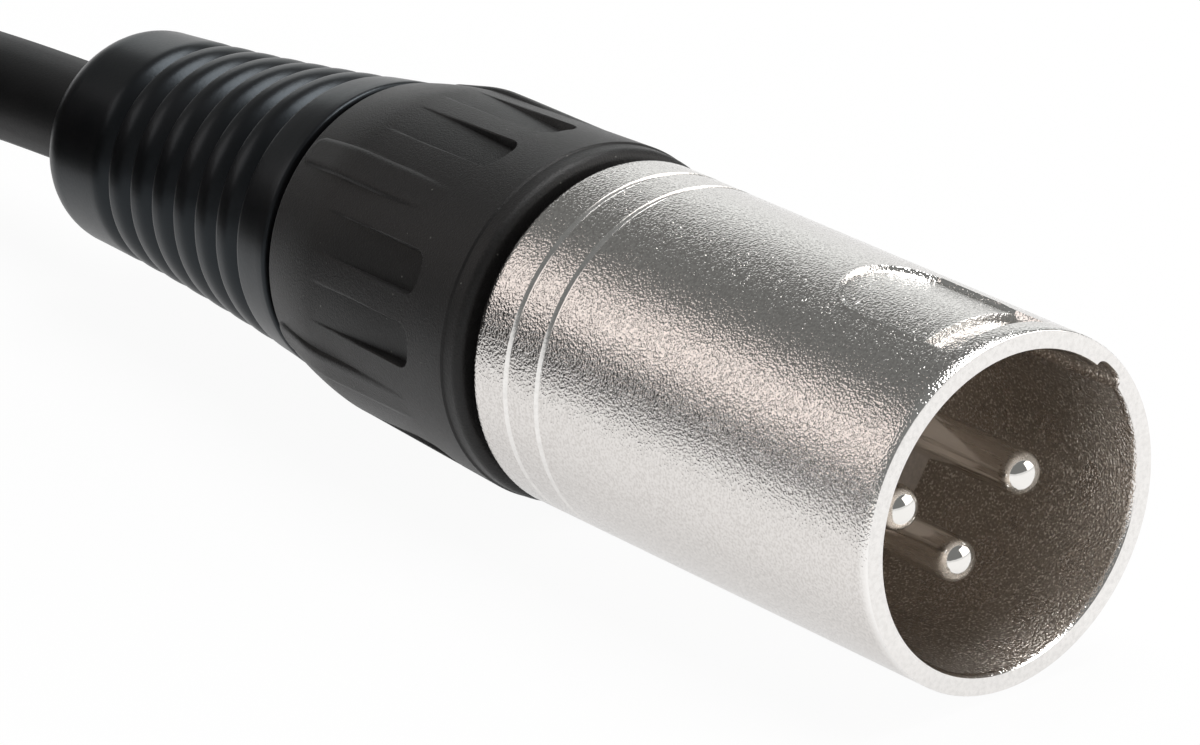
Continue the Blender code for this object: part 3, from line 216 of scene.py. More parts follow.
def smoothstep(value, low, high):
    """0 below low, 1 above high, and an even S between them."""
    share = min(1, max(0, (value - low) / (high - low)))
    return share * share * (3 - 2 * share)


def add_camera():
    data = bpy.data.cameras.new("camera")
    data.lens = LENS
    data.sensor_width = 36
    data.clip_start = MM
    camera = bpy.data.objects.new("camera", data)
    bpy.context.scene.collection.objects.link(camera)
    backward = CAMERA_RIGHT.cross(CAMERA_UP)
    turn = Matrix((CAMERA_RIGHT, CAMERA_UP, backward)).transposed()
    camera.matrix_world = Matrix.Translation(PLUG_FACE + CAMERA_OFFSET) @ turn.to_4x4()
    bpy.context.scene.camera = camera


def catmull_rom(points, parts):
    """A smooth line through points, with an even number of parts between each two."""
    route = [Vector(point) for point in points]
    route = [2 * route[0] - route[1], *route, 2 * route[-1] - route[-2]]
    line = []
    for before, start, end, after in zip(route, route[1:], route[2:], route[3:]):
        for step in range(parts):
            t = step / parts
            line.append(
                0.5
                * (
                    2 * start
                    + (end - before) * t
                    + (2 * before - 5 * start + 4 * end - after) * t * t
                    + (3 * start - before - 3 * end + after) * t * t * t
                )
            )
    line.append(route[-2])
    return line


def round_the_coil(degrees, radius, height):
    angle = degrees * DEGREE
    return (
        COIL_CENTRE.x + radius * math.cos(angle),
        COIL_CENTRE.y + radius * math.sin(angle),
        height,
    )


def coil_turns():
    """The wound turns, layer on layer.

    Each keeps its radius for half a turn and then goes over to the next.
    """
    turns = [
        (radius * MM, height * MM)
        for radii, height in zip(LAYER_RADII, LAYER_HEIGHTS)
        for radius in radii
    ]
    points = []
    for index, (radius, height) in enumerate(turns):
        last = index == len(turns) - 1
        following = turns[index + 1] if not last else turns[index]
        new_layer = following[1] > height
        aside_from = LAYER_CHANGES_UNTIL if new_layer else TURN_CHANGES_FROM
        start = COIL_STARTS_AT if index == 0 else 0
        end = COIL_ENDS_AT if last else 360
        for degrees in range(start, end, TURN_STEP):
            over = smoothstep(degrees, aside_from, 360)
            up = smoothstep(degrees, TURN_CHANGES_FROM, LAYER_CHANGES_UNTIL)
            points.append(
                round_the_coil(
                    degrees,
                    radius + (following[0] - radius) * over,
                    height + (following[1] - height) * up,
                )
            )
    return points


def cord_line():
    """The cable from plug to socket: its run, the coil's turns and the tail."""
    coil = coil_turns()
    run = catmull_rom([*RUN_POINTS, coil[0]], parts=3)
    leaving = [
        round_the_coil(degrees, radius * MM, height * MM) for degrees, radius, height in WAY_OUT
    ]
    along = [
        round_the_coil(degrees, TAIL_RADIUS, PLUG_FACE.z + rise)
        for degrees, rise in TAIL_STATIONS
    ]
    straight = [
        (COIL_CENTRE.x + on, COIL_CENTRE.y - TAIL_RADIUS + aside, SOCKET_FACE.z)
        for on, aside in TAIL_ENDING
    ]
    tail = catmull_rom([coil[-1], *leaving, *along, *straight], parts=4)
    return [*run[:-1], *coil, *tail[1:]]


def add_cord(finish):
    line = cord_line()
    curve = bpy.data.curves.new("cord", "CURVE")
    curve.dimensions = "3D"
    curve.bevel_depth = CABLE_RADIUS
    curve.bevel_resolution = 6
    curve.use_fill_caps = True
    spline = curve.splines.new("POLY")
    spline.points.add(len(line) - 1)
    for place, point in zip(spline.points, line):
        place.co = (*point, 1)
    curve.materials.append(finish)
    cord = bpy.data.objects.new("cord", curve)
    bpy.context.scene.collection.objects.link(cord)
    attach(cord, "cable_assembly")
    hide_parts("cable", "cable_coil", "cable_tail")
    return cord, line


FINISHES = {}


def shader_of(made):
    """The surface shader of a material, whose sockets the functions below set."""
    return made.node_tree.nodes["Principled BSDF"]


def new_finish(name, color, roughness, metallic=0.0, **sockets):
    """A material, kept by its name; further sockets are named with _ for a space."""
    made = bpy.data.materials.new(name)
    made.use_nodes = True
    shader = shader_of(made)
    shader.inputs["Base Color"].default_value = (*color, 1)
    shader.inputs["Roughness"].default_value = roughness
    shader.inputs["Metallic"].default_value = metallic
    for socket, value in sockets.items():
        shader.inputs[socket.replace("_", " ")].default_value = value
    FINISHES[name] = made
    return made


def add_node(made, kind, **values):
    """A node of a material, with its attributes or inputs set by name."""
    node = made.node_tree.nodes.new(kind)
    for key, value in values.items():
        if key in node.inputs:
            node.inputs[key].default_value = value
        else:
            setattr(node, key, value)
    return node


def join(made, output, place):
    """Leads one node's output to another node's input."""
    made.node_tree.links.new(output, place)


def pattern(made, kind, grain, stretch=(1, 1, 1), **values):
    """A texture whose grain is a real length, in the object's own coordinates."""
    coordinates = add_node(made, "ShaderNodeTexCoord")
    mapping = add_node(made, "ShaderNodeMapping", Scale=stretch)
    texture = add_node(made, kind, Scale=1 / grain, **values)
    join(made, coordinates.outputs["Object"], mapping.inputs["Vector"])
    join(made, mapping.outputs["Vector"], texture.inputs["Vector"])
    return texture


def noise(made, grain, **values):
    """The height of a noise, whose grain is given in millimetres."""
    return pattern(made, "ShaderNodeTexNoise", grain * MM, **values).outputs["Fac"]


def color_range(made, factor, stops):
    """The base colour follows a factor through (place, colour) stops."""
    node = add_node(made, "ShaderNodeValToRGB")
    ramp = node.color_ramp
    while len(ramp.elements) < len(stops):
        ramp.elements.new(0.5)
    for element, (place, color) in zip(ramp.elements, stops):
        element.position = place
        element.color = (*color, 1)
    join(made, factor, node.inputs["Fac"])
    join(made, node.outputs["Color"], shader_of(made).inputs["Base Color"])


def number_range(made, factor, low, high, socket="Roughness"):
    """A socket of the shader goes from low to high with a factor."""
    node = add_node(made, "ShaderNodeMapRange")
    node.inputs["To Min"].default_value = low
    node.inputs["To Max"].default_value = high
    join(made, factor, node.inputs["Value"])
    join(made, node.outputs["Result"], shader_of(made).inputs[socket])


def over(made, factor, color):
    """The base colour goes over to another as a factor goes to 1."""
    shader = shader_of(made)
    under = shader.inputs["Base Color"].links[0].from_socket
    mix = add_node(made, "ShaderNodeMixRGB")
    mix.inputs["Color2"].default_value = (*color, 1)
    join(made, factor, mix.inputs["Fac"])
    join(made, under, mix.inputs["Color1"])
    join(made, mix.outputs["Color"], shader.inputs["Base Color"])


def over_marks(made, color):
    """Where a piece's vertices carry a mark, its base colour goes over to another."""
    mark = add_node(made, "ShaderNodeAttribute", attribute_name="mark")
    over(made, mark.outputs["Fac"], color)


def relief(made, *layers):
    """Bump from (height output, depth in metres) layers, one on the other."""
    last = None
    for height, depth in layers:
        bump = add_node(made, "ShaderNodeBump", Strength=1.0, Distance=depth)
        join(made, height, bump.inputs["Height"])
        if last:
            join(made, last, bump.inputs["Normal"])
        last = bump.outputs["Normal"]
    join(made, last, shader_of(made).inputs["Normal"])


def blasted_nickel():
    """Satin nickel over a blasted surface: close round bumps that glint, painted edge highlights.
    """
    made = new_finish("satin_nickel", (0.77, 0.74, 0.715), roughness=0.09, metallic=1.0)
    bumps = noise(made, 0.14, Detail=1.0, Roughness=0.5)
    shade = noise(made, 3, Detail=3.0)
    tones = [(0.35, (0.67, 0.64, 0.615)), (0.6, (0.8, 0.77, 0.745))]
    color_range(made, bumps, tones)
    # Painted highlight: the marked edges of the shell go brighter
    over_marks(made, (0.95, 0.93, 0.91))
    number_range(made, shade, 0.07, 0.12)
    relief(made, (bumps, 0.042 * MM))


def bright_rim():
    """The end face and ring grooves, which are bare: smoother and whiter than the blasted sides."""
    made = new_finish("bright_rim", (0.88, 0.86, 0.84), roughness=0.3, metallic=1.0)
    bumps = noise(made, 0.3, Detail=2.0)
    tones = [(0.3, (0.82, 0.8, 0.78)), (0.6, (0.9, 0.88, 0.86))]
    color_range(made, bumps, tones)
    number_range(made, bumps, 0.14, 0.22)
    relief(made, (bumps, 0.01 * MM))


def cast_bore():
    """The inside of the shell: duller, darker and browner as painted shade, with grains that catch
    the light.
    """
    # Painted shade: darker and browner than the outer nickel, for the shade and warm bounced light
    # inside
    made = new_finish("cast_bore", (0.7, 0.62, 0.54), roughness=0.3, metallic=0.92)
    bumps = noise(made, 0.13, Detail=1.0, Roughness=0.5)
    shade = noise(made, 3, Detail=3.0)
    specks = [(0.4, (0.43, 0.385, 0.345)), (0.6, (0.6, 0.545, 0.49)), (0.66, (1, 0.95, 0.89))]
    color_range(made, bumps, specks)
    number_range(made, shade, 0.22, 0.34)
    relief(made, (bumps, 0.075 * MM))


def polished_contact():
    """Silver plate with the fine rings of its turning."""
    made = new_finish("silvered_contact", (0.9, 0.88, 0.85), roughness=0.08, metallic=1.0)
    turned = noise(made, 0.1, stretch=(1, 0.06, 0.06), Detail=2.0)
    number_range(made, turned, 0.05, 0.12)
    relief(made, (turned, 0.0008 * MM))


def moulded_black():
    """Moulded plastic with a fine spark-eroded grain, a little dust, and painted shade in its
    pockets.
    """
    made = new_finish(
        "moulded_black",
        (0.007, 0.0063, 0.0063),
        roughness=0.42,
        Specular_IOR_Level=0.34,
        Sheen_Weight=0.06,
    )
    grain = noise(made, 0.12, Detail=3.0, Roughness=0.7)
    shade = noise(made, 4, Detail=2.0)
    dust = pattern(made, "ShaderNodeTexVoronoi", 1.1 * MM)
    tones = [(0.3, (0.004, 0.0035, 0.0035)), (0.75, (0.012, 0.011, 0.011))]
    color_range(made, grain, tones)
    # Painted shade: the floors of the nut's pockets go darker
    over_marks(made, (0.0025, 0.0024, 0.0024))
    speck_size = 0.045
    speck = add_node(made, "ShaderNodeMath", operation="LESS_THAN")
    speck.inputs[1].default_value = speck_size
    join(made, dust.outputs["Distance"], speck.inputs[0])
    over(made, speck.outputs["Value"], (0.12, 0.12, 0.11))
    number_range(made, shade, 0.34, 0.48)
    relief(made, (grain, 0.035 * MM))


def smooth_rubber():
    """The sleeve's rubber, with a soft shine, painted slightly blue for a cool light."""
    made = new_finish(
        "black_rubber",
        (0.006, 0.006, 0.0065),
        roughness=0.31,
        Specular_IOR_Level=0.34,
        # Painted light: the blue tint of the shine stands in for a cool lamp
        Specular_Tint=(0.78, 0.9, 1.0, 1.0),
    )
    grain = noise(made, 0.2, Detail=3.0)
    shade = noise(made, 3, Detail=2.0)
    tones = [(0.3, (0.004, 0.004, 0.0045)), (0.7, (0.008, 0.0075, 0.008))]
    color_range(made, shade, tones)
    number_range(made, grain, 0.27, 0.36)
    relief(made, (grain, 0.005 * MM))


def cable_jacket():
    """The cable's dull jacket, a little uneven over its length."""
    made = new_finish(
        "cable_jacket", (0.009, 0.009, 0.0095), roughness=0.5, Specular_IOR_Level=0.35
    )
    grain = noise(made, 0.15, Detail=3.0)
    shade = noise(made, 6, Detail=3.0)
    tones = [(0.3, (0.007, 0.007, 0.0075)), (0.7, (0.013, 0.0125, 0.013))]
    color_range(made, shade, tones)
    number_range(made, grain, 0.48, 0.62)
    relief(made, (grain, 0.01 * MM), (shade, 0.05 * MM))


def black_insulator():
    """The socket connector's insulator, matt and fine-grained."""
    made = new_finish("black_insulator", (0.025, 0.025, 0.026), roughness=0.5)
    grain = noise(made, 0.1, Detail=3.0)
    number_range(made, grain, 0.42, 0.58)
    relief(made, (grain, 0.01 * MM))


def plain_with_grain(name, color, roughness, metallic, grain_size, depth):
    """A finish for the inner pieces: an even colour with a fine grain, given in millimetres."""
    spread = 0.06
    made = new_finish(name, color, roughness, metallic)
    grain = noise(made, grain_size, Detail=3.0)
    dark = tuple(0.8 * part for part in color)
    color_range(made, grain, [(0.3, dark), (0.7, color)])
    number_range(made, grain, roughness - spread, roughness + spread)
    relief(made, (grain, depth * MM))


def woven_strap():
    """A close twill, with threads that aren't all alike."""
    made = new_finish("woven_strap", (0.03, 0.03, 0.032), roughness=0.85, Sheen_Weight=0.3)
    twill = pattern(made, "ShaderNodeTexWave", 0.9 * MM, Distortion=0.2, bands_direction="DIAGONAL")
    threads = noise(made, 0.25, Detail=3.0)
    tones = [(0.2, (0.012, 0.012, 0.013)), (0.8, (0.026, 0.026, 0.028))]
    color_range(made, twill.outputs["Fac"], tones)
    relief(made, (twill.outputs["Fac"], 0.06 * MM), (threads, 0.08 * MM))


# Colour, roughness, metallic share, and the grain's size and depth in millimetres
INNER_FINISHES = {
    "brown_insulator": ((0.72, 0.63, 0.55), 0.45, 0.0, 0.2, 0.01),
    "natural_nylon": ((0.75, 0.73, 0.66), 0.5, 0.0, 0.3, 0.01),
    "latch_steel": ((0.5, 0.49, 0.47), 0.35, 1.0, 0.1, 0.005),
    "bare_screen": ((0.7, 0.6, 0.45), 0.4, 1.0, 0.15, 0.05),
    "red_core": ((0.5, 0.03, 0.02), 0.4, 0.0, 0.3, 0.005),
    "white_core": ((0.8, 0.8, 0.78), 0.4, 0.0, 0.3, 0.005),
}


def all_finishes():
    blasted_nickel()
    bright_rim()
    cast_bore()
    polished_contact()
    moulded_black()
    smooth_rubber()
    cable_jacket()
    black_insulator()
    woven_strap()
    for name, values in INNER_FINISHES.items():
        plain_with_grain(name, *values)


def dress_nodes():
    """Gives each node of the model the procedural finish of its own slot."""
    for name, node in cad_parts.items():
        for place in node.material_slots:
            plain = place.material.name.split(".")[0] if place.material else ""
            if plain in FINISHES:
                place.material = FINISHES[plain]
    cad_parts["male_insert"].material_slots[0].material = FINISHES["brown_insulator"]


def finish_part(piece, finish, low, high):
    """Gives a finish to the faces whose middles lie between two (back, radius) corners."""
    piece.data.materials.append(FINISHES[finish])
    index = len(piece.data.materials) - 1
    for face in piece.data.polygons:
        back = -face.center.x
        radius = math.hypot(face.center.y, face.center.z)
        if low[0] < back < high[0] and low[1] < radius < high[1]:
            face.material_index = index


def skin(name, angles, ring_at, place, finish, body, bend=None, sharp=30, mark=None):
    """A closed piece round a connector's axis.

    ring_at gives its closed (back, radius) line by angle, and bend how far the axis sinks by
    back.  mark(back, angle, radius) gives how far a vertex takes the finish's second colour.
    """
    verts = []
    marks = []
    for angle in angles:
        ring = ring_at(angle)
        for back, radius in ring:
            sunk = bend(back) if bend else 0
            verts.append((-back, radius * math.sin(angle), radius * math.cos(angle) - sunk))
            marks.append(mark(back, angle, radius) if mark else 0)
    count = len(ring)
    faces = []
    columns = len(angles)
    for column in range(columns):
        here = column * count
        there = (column + 1) % columns * count
        for row in range(count):
            following = (row + 1) % count
            faces.append((here + row, here + following, there + following, there + row))
    mesh = bpy.data.meshes.new(name)
    mesh.from_pydata(verts, [], faces)
    mesh.attributes.new("mark", "FLOAT", "POINT").data.foreach_set("value", marks)
    return add_piece(name, mesh, place, finish, body, sharp)


def add_piece(name, mesh, place, finish, body, sharp=30):
    """Closes and smooths a mesh, and hands it to a body of the model."""
    bm = bmesh.new()
    bm.from_mesh(mesh)
    bmesh.ops.remove_doubles(bm, verts=bm.verts, dist=WELD_DISTANCE)
    bmesh.ops.recalc_face_normals(bm, faces=bm.faces)
    bm.to_mesh(mesh)
    bm.free()
    mesh.shade_smooth()
    mesh.set_sharp_from_angle(angle=sharp * DEGREE)
    mesh.materials.append(FINISHES[finish])
    piece = bpy.data.objects.new(name, mesh)
    bpy.context.scene.collection.objects.link(piece)
    piece.location = place
    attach(piece, body)
    return piece


def even_angles(count):
    return [math.tau * index / count for index in range(count)]


def refined_angles(centres, half, fine, coarse):
    """Angles all round, with fine steps within half of each centre and coarse ones between."""
    rounding_slack = 0.01
    places = []
    for centre in sorted(angle % math.tau for angle in centres):
        steps = round(2 * half / fine)
        places += [centre - half + fine * index for index in range(steps + 1)]
    places = sorted({round(place % math.tau, 6) for place in places})
    filled = []
    for one, other in zip(places, places[1:] + [places[0] + math.tau]):
        steps = max(1, math.ceil((other - one) / coarse - rounding_slack))
        filled += [one + (other - one) * index / steps for index in range(steps)]
    return filled


def offset(angle, centre):
    """The turn from a centre to an angle, from -180 to 180 degrees, in radians."""
    return (angle - centre + math.pi) % math.tau - math.pi


def spaced(start, end, step):
    """Even places from start on, about a step apart, without the end."""
    count = max(1, round((end - start) / step))
    return [start + (end - start) * index / count for index in range(count)]


def outline_behind(start, outline):
    """An outline's points in metres, from those in millimetres behind a start."""
    return [(start + back * MM, height * MM) for back, height in outline]


def groove_outline(middle, half_outline):
    """Both sides of a groove, from the half behind its middle."""
    front = [(middle - back * MM, lift * MM) for back, lift in reversed(half_outline) if back]
    return front + outline_behind(middle, half_outline)


def keyway_depth(angle):
    """How far the round-cornered keyway lies in the shell's bore."""
    side = abs(offset(angle, KEYWAY_ANGLE)) * RIM_BORE / (KEYWAY_WIDTH / 2)
    return KEYWAY_DEPTH * math.sqrt(1 - side**4) if side < 1 else 0


def shell_radius(back, angle):
    """The outside of the plug's shell, with the latch's recess, its deeper notch and a fine lip."""
    inside = recess_edge(back, angle)
    soft = EDGE_SOFTNESS
    in_recess = smoothstep(inside, -soft, soft)
    radius = SHELL_RADIUS
    if back > NOTCH_START - soft:
        radius -= RECESS_DEPTH * in_recess * smoothstep(back, NOTCH_START - soft, NOTCH_START)
        lip = math.exp(-(((inside + 2 * soft) / (1.6 * soft)) ** 2))
        radius += LIP_HEIGHT * lip * smoothstep(back, NOTCH_END, NOTCH_END + MM)
    in_notch = smoothstep(back, NOTCH_START - soft, NOTCH_START + soft)
    in_notch *= 1 - smoothstep(back, NOTCH_END - soft, NOTCH_END + soft)
    radius -= (NOTCH_DEPTH - RECESS_DEPTH) * in_notch * in_recess
    return radius


def recess_edge(back, angle):
    """How far inside the edge of the recess a place of the shell lies; outside is below 0."""
    side = SHELL_RADIUS * abs(offset(angle, 0))
    half_width = SHELL_RADIUS * RECESS_HALF_ANGLE
    past_end = back - (RECESS_END - half_width)
    if past_end > 0:
        return half_width - math.hypot(side, past_end)
    return half_width - side


def shell_edge_highlight(back, angle, radius):
    """A painted highlight: the plating goes brighter along the recess, the notch and the rim's
    outer edge.
    """
    if back < RIM_HIGHLIGHT:
        return 1
    if back < NOTCH_START or radius < THREAD_BORE:
        return 0
    inside = recess_edge(back, angle)
    along = math.exp(-((inside / HIGHLIGHT_WIDTH) ** 2))
    across = math.exp(-(((back - NOTCH_END) / HIGHLIGHT_WIDTH) ** 2)) if inside > 0 else 0
    return max(along, across)


def plug_shell_outline():
    """The places along the shell's outside where it has points, and how far each lies over it."""
    outline = outline_behind(0, SHELL_FRONT)
    for edge in (NOTCH_START, NOTCH_END):
        outline += [(edge + step * EDGE_SOFTNESS, 0) for step in (-2, -1, -0.5, 0, 0.5, 1, 2)]
    past_notch = NOTCH_END + 0.4 * MM
    past_recess = RECESS_END + 0.4 * MM
    plain_end = 25 * MM
    outline += [(back, 0) for back in spaced(past_notch, RECESS_ROUND_START, 0.6 * MM)]
    outline += [(back, 0) for back in spaced(RECESS_ROUND_START, past_recess, 0.08 * MM)]
    outline += [(back, 0) for back in spaced(past_recess, plain_end, 1.4 * MM)]
    for from_rear in RING_GROOVES:
        outline += groove_outline(SHELL_LENGTH - from_rear, PLUG_GROOVE_HALF)
    return outline + outline_behind(SHELL_LENGTH, SHELL_REAR)


def plug_shell_angles():
    """Fine steps over the recess and the keyway, and coarse ones between."""
    recess_end = RECESS_HALF_ANGLE + 1 * DEGREE
    keyway_start = KEYWAY_ANGLE - 8 * DEGREE
    keyway_end = KEYWAY_ANGLE + 8 * DEGREE
    return [
        *spaced(-recess_end, recess_end, 0.5 * DEGREE),
        *spaced(recess_end, keyway_start, 2 * DEGREE),
        *spaced(keyway_start, keyway_end, 0.4 * DEGREE),
        *spaced(keyway_end, math.tau - recess_end, 2 * DEGREE),
    ]


def plug_shell():
    outside = plug_shell_outline()
    bore_front = 0.3 * MM

    def ring_at(angle):
        ring = [(back, shell_radius(back, angle) + lift) for back, lift in outside]
        bore = RIM_BORE + keyway_depth(angle)
        ring += [
            (outside[-1][0], THREAD_BORE),
            (SOCKET_DEPTH, THREAD_BORE),
            (SOCKET_DEPTH, RIM_BORE),
            (SOCKET_DEPTH - 0.25 * MM, RIM_BORE),
            (SOCKET_DEPTH - 0.3 * MM, bore),
            (bore_front, bore),
            (0.05 * MM, bore + 0.12 * MM),
            (0, bore + 0.15 * MM),
        ]
        return ring

    shell = skin(
        "plug_housing",
        plug_shell_angles(),
        ring_at,
        PLUG_FACE,
        "satin_nickel",
        "cable_assembly",
        mark=shell_edge_highlight,
    )
    margin = 0.01 * MM
    outer_bore = THREAD_BORE + margin
    finish_part(shell, "cast_bore", (bore_front, 0), (SHELL_LENGTH, outer_bore))
    finish_part(shell, "bright_rim", (-MM, 0), (0.05 * MM, SHELL_RADIUS))
    for from_rear in RING_GROOVES:
        middle = SHELL_LENGTH - from_rear
        low = (middle - GROOVE_HALF_WIDTH, outer_bore)
        high = (middle + GROOVE_HALF_WIDTH, SHELL_RADIUS - margin)
        finish_part(shell, "bright_rim", low, high)
    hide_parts("male_shell")


def grip_radius(past):
    """The nut's outside without its ribs and pockets, by the distance past the lip's face."""
    if past < LIP_FRONT + LIP_ROUND:
        short = min(1, 1 - (past - LIP_FRONT) / LIP_ROUND)
        return LIP_RADIUS - LIP_ROUND * (1 - math.sqrt(1 - short * short))
    if past <= LIP_LENGTH:
        return LIP_RADIUS
    along = (past - LIP_LENGTH) / GRIP_LENGTH
    if along <= 1:
        return LIP_RADIUS + (GRIP_END_RADIUS - LIP_RADIUS) * along
    swell = 1.4
    corner = 0.25 * MM
    along = (past - LIP_LENGTH - GRIP_LENGTH) / (SHOULDER_LENGTH - NUT_END_BAND)
    radius = GRIP_END_RADIUS + (SHOULDER_END_RADIUS - GRIP_END_RADIUS) * min(1, along) ** swell
    left = NUT_LENGTH - past
    if left < corner:
        radius -= corner * (1 - math.sqrt(1 - (1 - left / corner) ** 2))
    return radius


def rib_lift(past, angle, base):
    """How far the nearest rib stands over the nut: a flat crest with rounded edges and end."""
    if past < LIP_LENGTH:
        return 0
    turn = min((offset(angle, rib) for rib in RIB_ANGLES), key=abs)
    side = abs(turn) * RIB_CREST
    half = RIB_WIDTH / 2
    end = NUT_LENGTH - NUT_END_BAND
    bend = LIP_LENGTH + GRIP_LENGTH
    soft = 1.2 * MM
    rounding = 0.45 * MM
    edge_drop = 0.26 * MM
    foot = (-0.12 * MM, 0.1 * MM)
    past_centre = past - (end - half)
    inside = half - math.hypot(side, past_centre) if past_centre > 0 else half - side
    slope = (RIB_CREST - RIB_END_CREST) / (end - half - bend)
    run = min(past, end) - bend
    if abs(run) < soft:
        run = (run + soft) ** 2 / (4 * soft)
    crest = (RIB_CREST - max(0, run) * slope) / math.cos(turn)
    share = min(1, max(0, inside / rounding))
    dip = edge_drop * (1 - math.sqrt(1 - (1 - share) ** 2))
    return max(0, crest - dip - base) * smoothstep(inside, *foot)


def pocket_share(past, angle):
    """1 in the nearest pocket of the nut and 0 outside, with its rounded front corners."""
    turn = min((offset(angle, pocket) for pocket in POCKET_ANGLES), key=abs)
    side = abs(turn) * GRIP_END_RADIUS
    half = POCKET_WIDTH / 2
    across = side - (half - POCKET_CORNER)
    ahead = POCKET_START + POCKET_CORNER - past
    if across > 0 and ahead > 0:
        inside = POCKET_CORNER - math.hypot(across, ahead)
    else:
        inside = POCKET_CORNER - max(across, ahead)
    soft = 0.04 * MM
    return smoothstep(inside, -soft, soft)


def pocket_drop(past, angle, base):
    """How far the nearest pocket lies below the grip: its floor rises until the taper meets it."""
    margin = 0.01 * MM
    depth = POCKET_DEPTH * (1 - smoothstep(past, POCKET_START, POCKET_END))
    floor = GRIP_END_RADIUS + margin - depth
    return max(0, base - floor) * pocket_share(past, angle)


def nut_backs():
    """The places along the nut where it has points, close together where its form changes."""
    lip = [0.6, 0.61, 0.64, 0.69, 0.76, 0.85, 0.95, 1.05, 1.15, 1.4, 1.74]
    line = [1.8, 1.92, 1.96, 2.1]
    backs = [value * MM for value in lip + line]
    for start, end, step in (
        (2.6 * MM, POCKET_START - 0.15 * MM, 0.7 * MM),
        (POCKET_START - 0.15 * MM, POCKET_START + 1.1 * MM, 0.07 * MM),
        (POCKET_START + 1.1 * MM, 13.2 * MM, 0.7 * MM),
        (13.2 * MM, 17.0 * MM, 0.25 * MM),
        (17.0 * MM, NUT_LENGTH - 0.1 * MM, 0.08 * MM),
    ):
        backs += spaced(start, end, step)
    return [*backs, NUT_LENGTH - 0.05 * MM, NUT_LENGTH]


def grip_nut(prefix, shell_length, place, body, fine):
    """The moulded nut with its ribs and pockets, and the threaded spigot that the shell hides.

    fine is the step round the ribs and pockets, in degrees.
    """
    front = shell_length + NUT_LIP_GAP
    end = front + NUT_LENGTH
    bore_start = front + 15 * MM
    funnel_start = front + 1.2 * MM
    backs = nut_backs()

    def ring_at(angle):
        ring = []
        for past in backs:
            base = grip_radius(past)
            radius = base + rib_lift(past, angle, base) - pocket_drop(past, angle, base)
            if past < LIP_EDGE:
                radius -= LIP_STEP
            ring.append((front + past, radius))
        ring += [
            (end, NECK_RADIUS),
            (end + NECK_LENGTH, NECK_RADIUS),
            (end + NECK_LENGTH, NUT_BORE),
            (bore_start, NUT_BORE),
            (funnel_start, SPIGOT_BORE),
            (front - SPIGOT_LENGTH, SPIGOT_BORE),
            (front - SPIGOT_LENGTH, SPIGOT_RADIUS),
            (front + LIP_FRONT, SPIGOT_RADIUS),
        ]
        return ring

    # Painted shade: how far a vertex darkens in a pocket, fading out towards the grip's end
    def pocket_shade(back, angle, radius):
        past = back - front
        grip_end = LIP_LENGTH + GRIP_LENGTH
        if radius < GRIP_END_RADIUS - POCKET_DEPTH or past > grip_end:
            return 0
        return pocket_share(past, angle) * (1 - smoothstep(past, grip_end - 3 * MM, grip_end))

    centres = [*RIB_ANGLES, *POCKET_ANGLES]
    angles = refined_angles(centres, 8 * DEGREE, fine * DEGREE, 2 * DEGREE)
    nut = skin(
        prefix + "_grip_nut", angles, ring_at, place, "moulded_black", body, mark=pocket_shade
    )
    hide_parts(prefix + "_nut")
    return [nut, thread(prefix, front, place, body)]


def thread(prefix, front, place, body):
    """The spigot's thread: a ridge on a helix of the pitch that the joint turns with."""
    per_turn = 48
    run_out = 12
    start = front - SPIGOT_LENGTH + 0.5 * MM
    turns = (SPIGOT_LENGTH - 1.6 * MM) / THREAD_PITCH
    count = int(turns * per_turn)
    root = SPIGOT_RADIUS - 0.1 * MM
    height = 0.3 * MM
    foot_half = 0.45 * MM
    crest_half = 0.12 * MM
    verts = []
    for index in range(count + 1):
        angle = math.tau * index / per_turn
        back = start + THREAD_PITCH * index / per_turn
        top = root + height * min(1, index / run_out, (count - index) / run_out)
        for along, radius in (
            (-foot_half, root),
            (-crest_half, top),
            (crest_half, top),
            (foot_half, root),
        ):
            verts.append((-(back + along), radius * math.sin(angle), radius * math.cos(angle)))
    faces = []
    for index in range(count):
        here = 4 * index
        for row in range(4):
            following = (row + 1) % 4
            faces.append((here + row, here + following, here + 4 + following, here + 4 + row))
    faces += [(3, 2, 1, 0), tuple(4 * count + row for row in range(4))]
    mesh = bpy.data.meshes.new(prefix + "_thread")
    mesh.from_pydata(verts, [], faces)
    return add_piece(prefix + "_thread", mesh, place, "moulded_black", body, sharp=25)


def sleeve_radius(past):
    """The sleeve's outside over its grooves: a taper that grows a little less steep."""
    steps = past / MM
    return SLEEVE_FRONT_RADIUS - (0.14 * steps - 0.002 * steps * steps) * MM


def droop(back):
    """How far the plug's sleeve sinks, from the rear of the nut on, towards the cable's run."""
    start = SHELL_LENGTH + NUT_LIP_GAP + NUT_LENGTH - 1 * MM
    past = back - start
    if past <= 0:
        return 0
    if past < DROOP_EASING:
        return DROOP_SLOPE * past * past / (2 * DROOP_EASING)
    return DROOP_SLOPE * (past - DROOP_EASING / 2)


